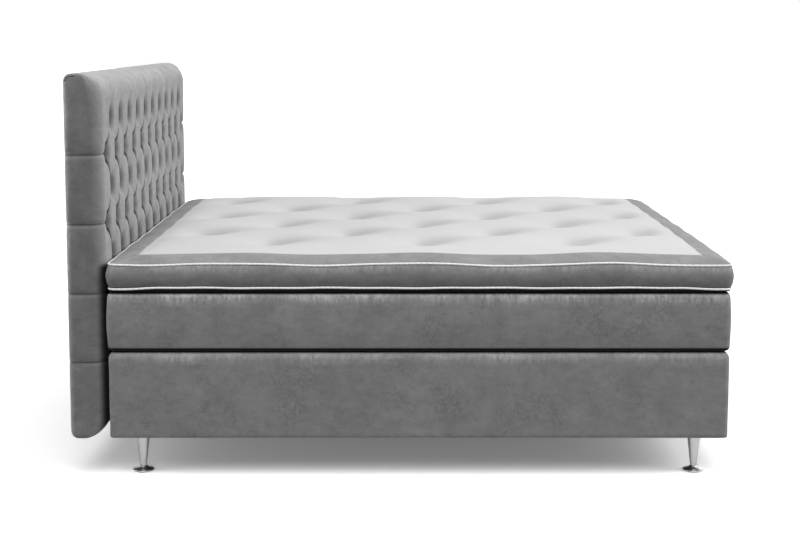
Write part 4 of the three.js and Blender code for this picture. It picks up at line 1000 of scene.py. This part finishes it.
boardShade = {"endUnit": 60 * mm, "endClip": 0.45, "faint": 0.15, "pleatTurn": (-0.25, 0.2), "endDark": 0.5,
              "narrowFrom": (48 * mm, 64 * mm), "narrow": 14, "faceFrom": 30 * mm, "offFold": -400,
              "dimpleWide": 31 * mm, "dimpleTall": 28 * mm, "dimpleDark": 0.66, "dimpleEnd": 20 * mm,
              "againstFrom": 32 * mm, "againstTo": 4 * mm, "againstFade": 20 * mm,
              "rimLight": 1.3, "rimPlace": 5 * mm, "rimWide": 9 * mm,
              "edgeLight": 0.4, "edgePlace": 24 * mm, "edgeWide": 22 * mm,
              "crestLight": 0.5, "crestFrom": 70 * mm, "crestTo": 10 * mm, "highlightReach": 200 * mm}


def pleatMaps(across, up):
    # tuft: the button grid for the pleat lines, at endUnit to a unit on the ends.
    # pleatA, pleatB: how dark the lines of a and of b are
    a, b = tuftSpace(across, up)
    endFade, upFade = fieldFade(across, up)
    onEnd = smoothStep(np.abs(across), fieldHalf, fieldHalf + board["fadeEnd"])
    away = fromEndRow(up) / boardShade["endUnit"]
    endA = (board["lastColumn"] + 1 + endRow(up)) / 2
    endA = endA + np.clip(away, -boardShade["endClip"], boardShade["endClip"])
    endA = np.where(across < 0, endA - board["lastColumn"], endA)
    tuft = np.stack([np.where(onEnd > 0.02, endA, a), np.where(onEnd > 0.02, 0.5, b)], axis=1)
    turn = np.sin(np.pi * (a - b))
    deep = [smoothStep(way, *boardShade["pleatTurn"]) for way in (turn, -turn)]
    faint = boardShade["faint"]
    pleatA, pleatB = ((faint + (1 - faint) * part) * endFade * upFade for part in deep)
    return {"tuft": tuft, "pleatA": np.maximum(pleatA, boardShade["endDark"] * onEnd), "pleatB": pleatB}


def foldMap(x, z, onFace):
    # 100 + distance in mm from the fold under the top edge of the end faces, which narrows away
    # towards the front
    inset = boardTall - z
    for corner, past in ((board["backRound"], board["backRound"] - x),
                         (board["frontRound"], x - (boardThick - board["frontRound"]))):
        inArc = corner - np.hypot(past, z - (boardTall - corner))
        inset = np.where((past > 0) & (z > boardTall - corner), inArc, inset)
    narrow = 1 + boardShade["narrow"] * smoothStep(x, *boardShade["narrowFrom"])
    fold = 100 + (inset - board["foldInset"]) / mm * narrow
    return np.where(onFace & (x > 0.5 * mm), fold, boardShade["offFold"])


def headboardMaps(points, across, up):
    # painted shade: dark in the dimples and where the bed stands against the front
    x, z = points[:, 0], points[:, 2]
    onFace = np.abs(across) > boardHalf + boardShade["faceFrom"]
    awayY, awayZ = fromButton(across, up, past=2)
    dimple = bell(awayY, boardShade["dimpleWide"]) * bell(awayZ, boardShade["dimpleTall"])
    pressed = boardShade["dimpleDark"] * dimple * (np.abs(across) < fieldHalf + boardShade["dimpleEnd"])
    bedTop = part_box("topper_piping_top")[1].z - boardLow[2]
    against = smoothStep(x, boardThick - boardShade["againstFrom"], boardThick - boardShade["againstTo"])
    against *= 1 - smoothStep(z, bedTop - boardShade["againstFade"], bedTop)
    # painted highlight along the back rim and the front edge of the ends, and on the crest
    rim = boardShade["rimLight"] * bell(x - boardShade["rimPlace"], boardShade["rimWide"])
    toFront = x - boardThick + boardShade["edgePlace"]
    frontEdge = boardShade["edgeLight"] * bell(toFront, boardShade["edgeWide"])
    crest = smoothStep(z, boardTall - boardShade["crestFrom"], boardTall - boardShade["crestTo"])
    combed = np.maximum((rim + frontEdge) * onFace, boardShade["crestLight"] * crest)
    combed *= smoothStep(z, bedTop - boardShade["highlightReach"], bedTop)
    return {**pleatMaps(across, up), "fold": foldMap(x, z, onFace), "pressed": np.maximum(pressed, against),
            "combed": combed}


def coveredButtons():
    # a dome on each button place: radius * cos t across, height * sin t, 12 sides and 4 rings
    tilt = np.array([0.0, 0.35, 0.8, 1.25])
    angle = np.linspace(0, 2 * np.pi, 12, endpoint=False)
    ring = np.stack([np.sin(tilt)[:, None] + 0 * angle, np.cos(tilt)[:, None] * np.cos(angle),
                     np.cos(tilt)[:, None] * np.sin(angle)], axis=-1).reshape(-1, 3)
    dome = np.concatenate([ring * [board["buttonHeight"], board["button"], board["button"]],
                           [[board["buttonHeight"], 0, 0], [-board["buttonSeat"], 0, 0]]])
    side = np.arange(12)
    tip = np.stack([36 + side, 36 + (side + 1) % 12, np.full(12, 48)], axis=1)
    seat = np.stack([(side + 1) % 12, side, np.full(12, 49)], axis=1)
    last = board["lastColumn"]
    column, row = np.meshgrid(np.arange(-last, last + 1), np.arange(board["rows"]))
    onButton = (column + row) % 2 == 1
    column, row = column[onButton], row[onButton]
    out = boardHigh[0] - (board["dimple"] + board["foldShallow"]) + board["buttonOut"]
    centres = np.stack([np.full(len(row), out), boardMiddle + column * board["columnPitch"],
                        boardLow[2] + board["firstRow"] + row * board["rowPitch"]], axis=1)
    starts = np.arange(len(row))[:, None, None] * len(dome)
    faces = []
    for kind in (gridQuads(4, 12, closeColumns=True), tip, seat):
        faces += (kind + starts).reshape(-1, kind.shape[1]).tolist()
    return buildPiece("headboard_buttons", (dome[None] + centres[:, None]).reshape(-1, 3), faces)


points, faces, across, up = headboardCover()
maps = headboardMaps(points, across, up)
headboard = buildPiece("headboard_velvet", points + [boardLow[0], boardMiddle, boardLow[2]], faces, maps)
dress(headboard, "base", headboardVelvet, ["headboard_cover"])
dress(coveredButtons(), "base", headboardVelvet)
print("headboard made")


# Legs: turned pieces, a profile of (radius, height) in mm carried round an axis. A head's heights
# are from the base's underside, and the stud goes up into the base

stud = [(5, 0), (5, 23), (4, 24), (0, 24)]
legs = {"cone": [(0, 0), (10.6, 0), (11, 0.4), (11, 1)],
        "coneHead": [(23.6, -3), (24, -1.6), (23.7, -0.5), (23, 0), *stud],
        "disc": [(0, 0), (34, 0), (34.8, 0.5), (35, 1.3), (34.8, 2.1), (34.2, 2.7), (30, 3.6), (24, 5.2),
                 (19, 7.2), (15.4, 9.6), (13, 12.2), (12.2, 13.6), (11.6, 14), (0, 14)],
        "pad": [(0, 0), (29.6, 0), (30.6, 0.4), (31, 1.2), (31, 3), (0, 3)],
        "support": [(0, 0), (24.2, 0), (25, 0.8), (25, 7), (24.2, 8), (18.5, 9.5), (17.4, 12), (17, 70)],
        "supportHead": [(21.4, -1), (21, 0), *stud]}
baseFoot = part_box("base_cover")[0].z


def turned(name, profile, place, head=(), sides=48):
    top = (baseFoot - place[2]) / mm
    profile = np.array([*profile, *((radius, top + height) for radius, height in head)]) * mm
    angle = np.linspace(0, 2 * np.pi, sides, endpoint=False)
    ring = profile[:, 0, None]
    points = np.stack([place[0] + ring * np.cos(angle), place[1] + ring * np.sin(angle),
                       place[2] + profile[:, 1, None] + 0 * angle], axis=-1)
    faces = gridQuads(*points.shape[:2], closeColumns=True).tolist()
    return buildPiece(name, points, faces, sharp=32)


for corner in ("head_left", "head_right", "foot_left", "foot_right"):
    low, high = boxOf("leg_" + corner)
    x, y = (low[:2] + high[:2]) / 2
    cone = turned("chrome_leg_" + corner, legs["cone"], (x, y, low[2]), legs["coneHead"])
    dress(cone, "base", chrome, ["leg_" + corner])
    discFoot = boxOf("foot_disc_" + corner)[0][2]
    disc = turned("chrome_disc_" + corner, legs["disc"], (x, y, discFoot))
    dress(disc, "base", satinChrome, ["foot_disc_" + corner])
    pad = turned("glide_" + corner, legs["pad"], (x, y, 0))
    dress(pad, "base", plastic, ["glide_pad_" + corner])
for corner in ("centre_head", "centre_foot"):
    low, high = boxOf("leg_" + corner)
    x, y = (low[:2] + high[:2]) / 2
    support = turned("support_" + corner, legs["support"], (x, y, 0), legs["supportHead"])
    dress(support, "base", plastic, ["leg_" + corner])
print("legs made")


# Flat cloths: a thin closed slab with soft tension waves

flatWave = {"wave": 0.6 * mm, "fade": 150 * mm, "rows": 90, "columns": 80, "share": 0.3}


def flatCloth(name, node, body, material, axis=2, inset=0):
    # grid over the node's box, bowed by sines that die out at the hem
    low, high = boxOf(node)
    room = np.array([0 if k == axis else inset for k in range(3)])
    low, high = low + room, high - room
    first, second = flat = [k for k in range(3) if k != axis]
    u, v, toHem = sheetGrid(low[flat], high[flat], flatWave["rows"], flatWave["columns"])
    wave = flatWave["wave"]
    bow = ripple(u, v, 0, [(wave, 1.3, 0.9, 0, 0.5), (wave * 0.6, 3.1, -2.3, 0, 1.9)]) - wave * 1.6
    points = np.zeros((2, *u.shape, 3))
    points[..., first], points[..., second] = u, v
    points[..., axis] = bow * smoothStep(toHem, 0, flatWave["fade"]) * flatWave["share"]
    points[..., axis] += np.array([low[axis], high[axis]])[:, None, None]
    piece = buildPiece(name, points, slabFaces(*u.shape), sharp=50)
    dress(piece, body, material, [node])


flatCloth("base_top_cloth", "base_top_panel", "base", ticking)
flatCloth("dust_cloth", "dust_cover", "base", backingCloth)
flatCloth("mattress_top_cloth", "mattress_top_panel", "mattress", ticking)
flatCloth("mattress_bottom_cloth", "mattress_underside", "mattress", backingCloth)
flatCloth("topper_bottom_cloth", "topper_underside", "topper", ticking, inset=9 * mm)
flatCloth("headboard_back_lining", "headboard_back_cloth", "base", backingCloth,
          axis=0, inset=11 * mm)
print("cloths made")

# Inner pieces keep their CAD shapes and get their materials
finishes = {
    "side_rail": pineAlongX, "centre_rail": pineAlongX, "head_rail": pineAlongY, "foot_rail": pineAlongY,
    "corner_block": pineUpright, "slat_deck": pineAlongY, "headboard_frame": pineUpright,
    "headboard_board": plywood, "headboard_bolt": zinc, "threaded_insert": zinc,
    "base_spring_unit": fleece, "mattress_spring_unit": fleece,
    "base_side_padding": foam, "base_top_pad": foam, "mattress_edge_foam": foam, "mattress_top_foam": foam,
    "topper_core": foam, "headboard_foam": foam,
}
for name, node in nodes.items():
    if node.hide_render:
        continue
    kind = max((key for key in finishes if name.startswith(key)), key=len)
    node.data.materials.clear()
    node.data.materials.append(finishes[kind])
print("inner pieces finished")


# Floor, world, lights and camera

studio = {"sky": 0.15, "overhead": 14, "footSide": 1.85, "front": 1.2, "backSide": 1.5, "back": 0.65,
          "floor": 0.25, "floorSeen": 1.35, "floorGlow": 0.155, "floorReach": 60}


def seenDirectly(tree):
    # 1 for what the camera, a reflection or a clear piece sees, 0 for light on its way
    path = addNode(tree, "ShaderNodeLightPath")
    clear = combine("MAXIMUM", path.outputs["Is Glossy Ray"], path.outputs["Is Transmission Ray"])
    return combine("MAXIMUM", path.outputs["Is Camera Ray"], clear)


def studioFloor():
    # white sheet: bright for the camera and for reflections, duller for the light it throws back.
    # A little glow, seen only so, keeps the shadow under the bed pale
    corners = np.array([(-1, -1, 0), (1, -1, 0), (1, 1, 0), (-1, 1, 0)]) * studio["floorReach"]
    floor = buildPiece("floor", corners, [(0, 1, 2, 3)], weld=False)
    material, tree = newMaterial("studio_floor")
    seen = seenDirectly(tree)
    shade = plus(times(seen, studio["floorSeen"] - studio["floor"]), studio["floor"])
    diffuse = addNode(tree, "ShaderNodeBsdfDiffuse", {"Color": shade}).outputs["BSDF"]
    glow = times(seen, studio["floorGlow"])
    light = addNode(tree, "ShaderNodeEmission", {"Strength": glow}).outputs["Emission"]
    both = addNode(tree, "ShaderNodeAddShader", {0: diffuse, 1: light}).outputs["Shader"]
    addNode(tree, "ShaderNodeOutputMaterial", {"Surface": both})
    floor.data.materials.append(material)


def studioWorld():
    world = bpy.data.worlds.new("studio")
    scene.world = world
    world.use_nodes = True
    tree = world.node_tree
    tree.nodes.clear()
    strength = plus(times(seenDirectly(tree), 1 - studio["sky"]), studio["sky"])
    back = addNode(tree, "ShaderNodeBackground", {"Color": (1, 1, 1, 1), "Strength": strength})
    addNode(tree, "ShaderNodeOutputWorld", {"Surface": back.outputs["Background"]})


def softLight(name, kind, place, power, **shape):
    # each lamp points at the middle of the bed
    light = bpy.data.lights.new(name, kind)
    light.energy = power
    for label, value in shape.items():
        setattr(light, label, value)
    lamp = newObject(name, light)
    lamp.location = place
    lamp.rotation_euler = (Vector((0, 0, 0.5)) - Vector(place)).to_track_quat("-Z", "Y").to_euler()


studioFloor()
studioWorld()
softLight("overhead", "AREA", (0.3, -1.9, 2.9), studio["overhead"], shape="RECTANGLE", size=3.5, size_y=1.6)
softLight("foot_side", "SUN", (8.5, -1.7, 5.5), studio["footSide"], angle=np.radians(50))
softLight("front", "SUN", (-0.8, -5.0, 7.5), studio["front"], angle=np.radians(45))
softLight("back_side", "SUN", (-8.0, -1.0, 2.6), studio["backSide"], angle=np.radians(40))
softLight("back", "SUN", (2.0, 7.0, 4.5), studio["back"], angle=np.radians(50))

view = {"place": (-0.001, -5.484, 1.425), "pitch": 6.0, "lens": 65.42, "shiftY": -0.0972, "sensor": 36}
camera = newObject("camera", bpy.data.cameras.new("camera"))
camera.location = view["place"]
camera.rotation_euler = (np.radians(90 - view["pitch"]), 0, 0)
camera.data.lens = view["lens"]
camera.data.sensor_width = view["sensor"]
camera.data.shift_y = view["shiftY"]
scene.camera = camera
scene.view_settings.view_transform = "Standard"
print("studio made")
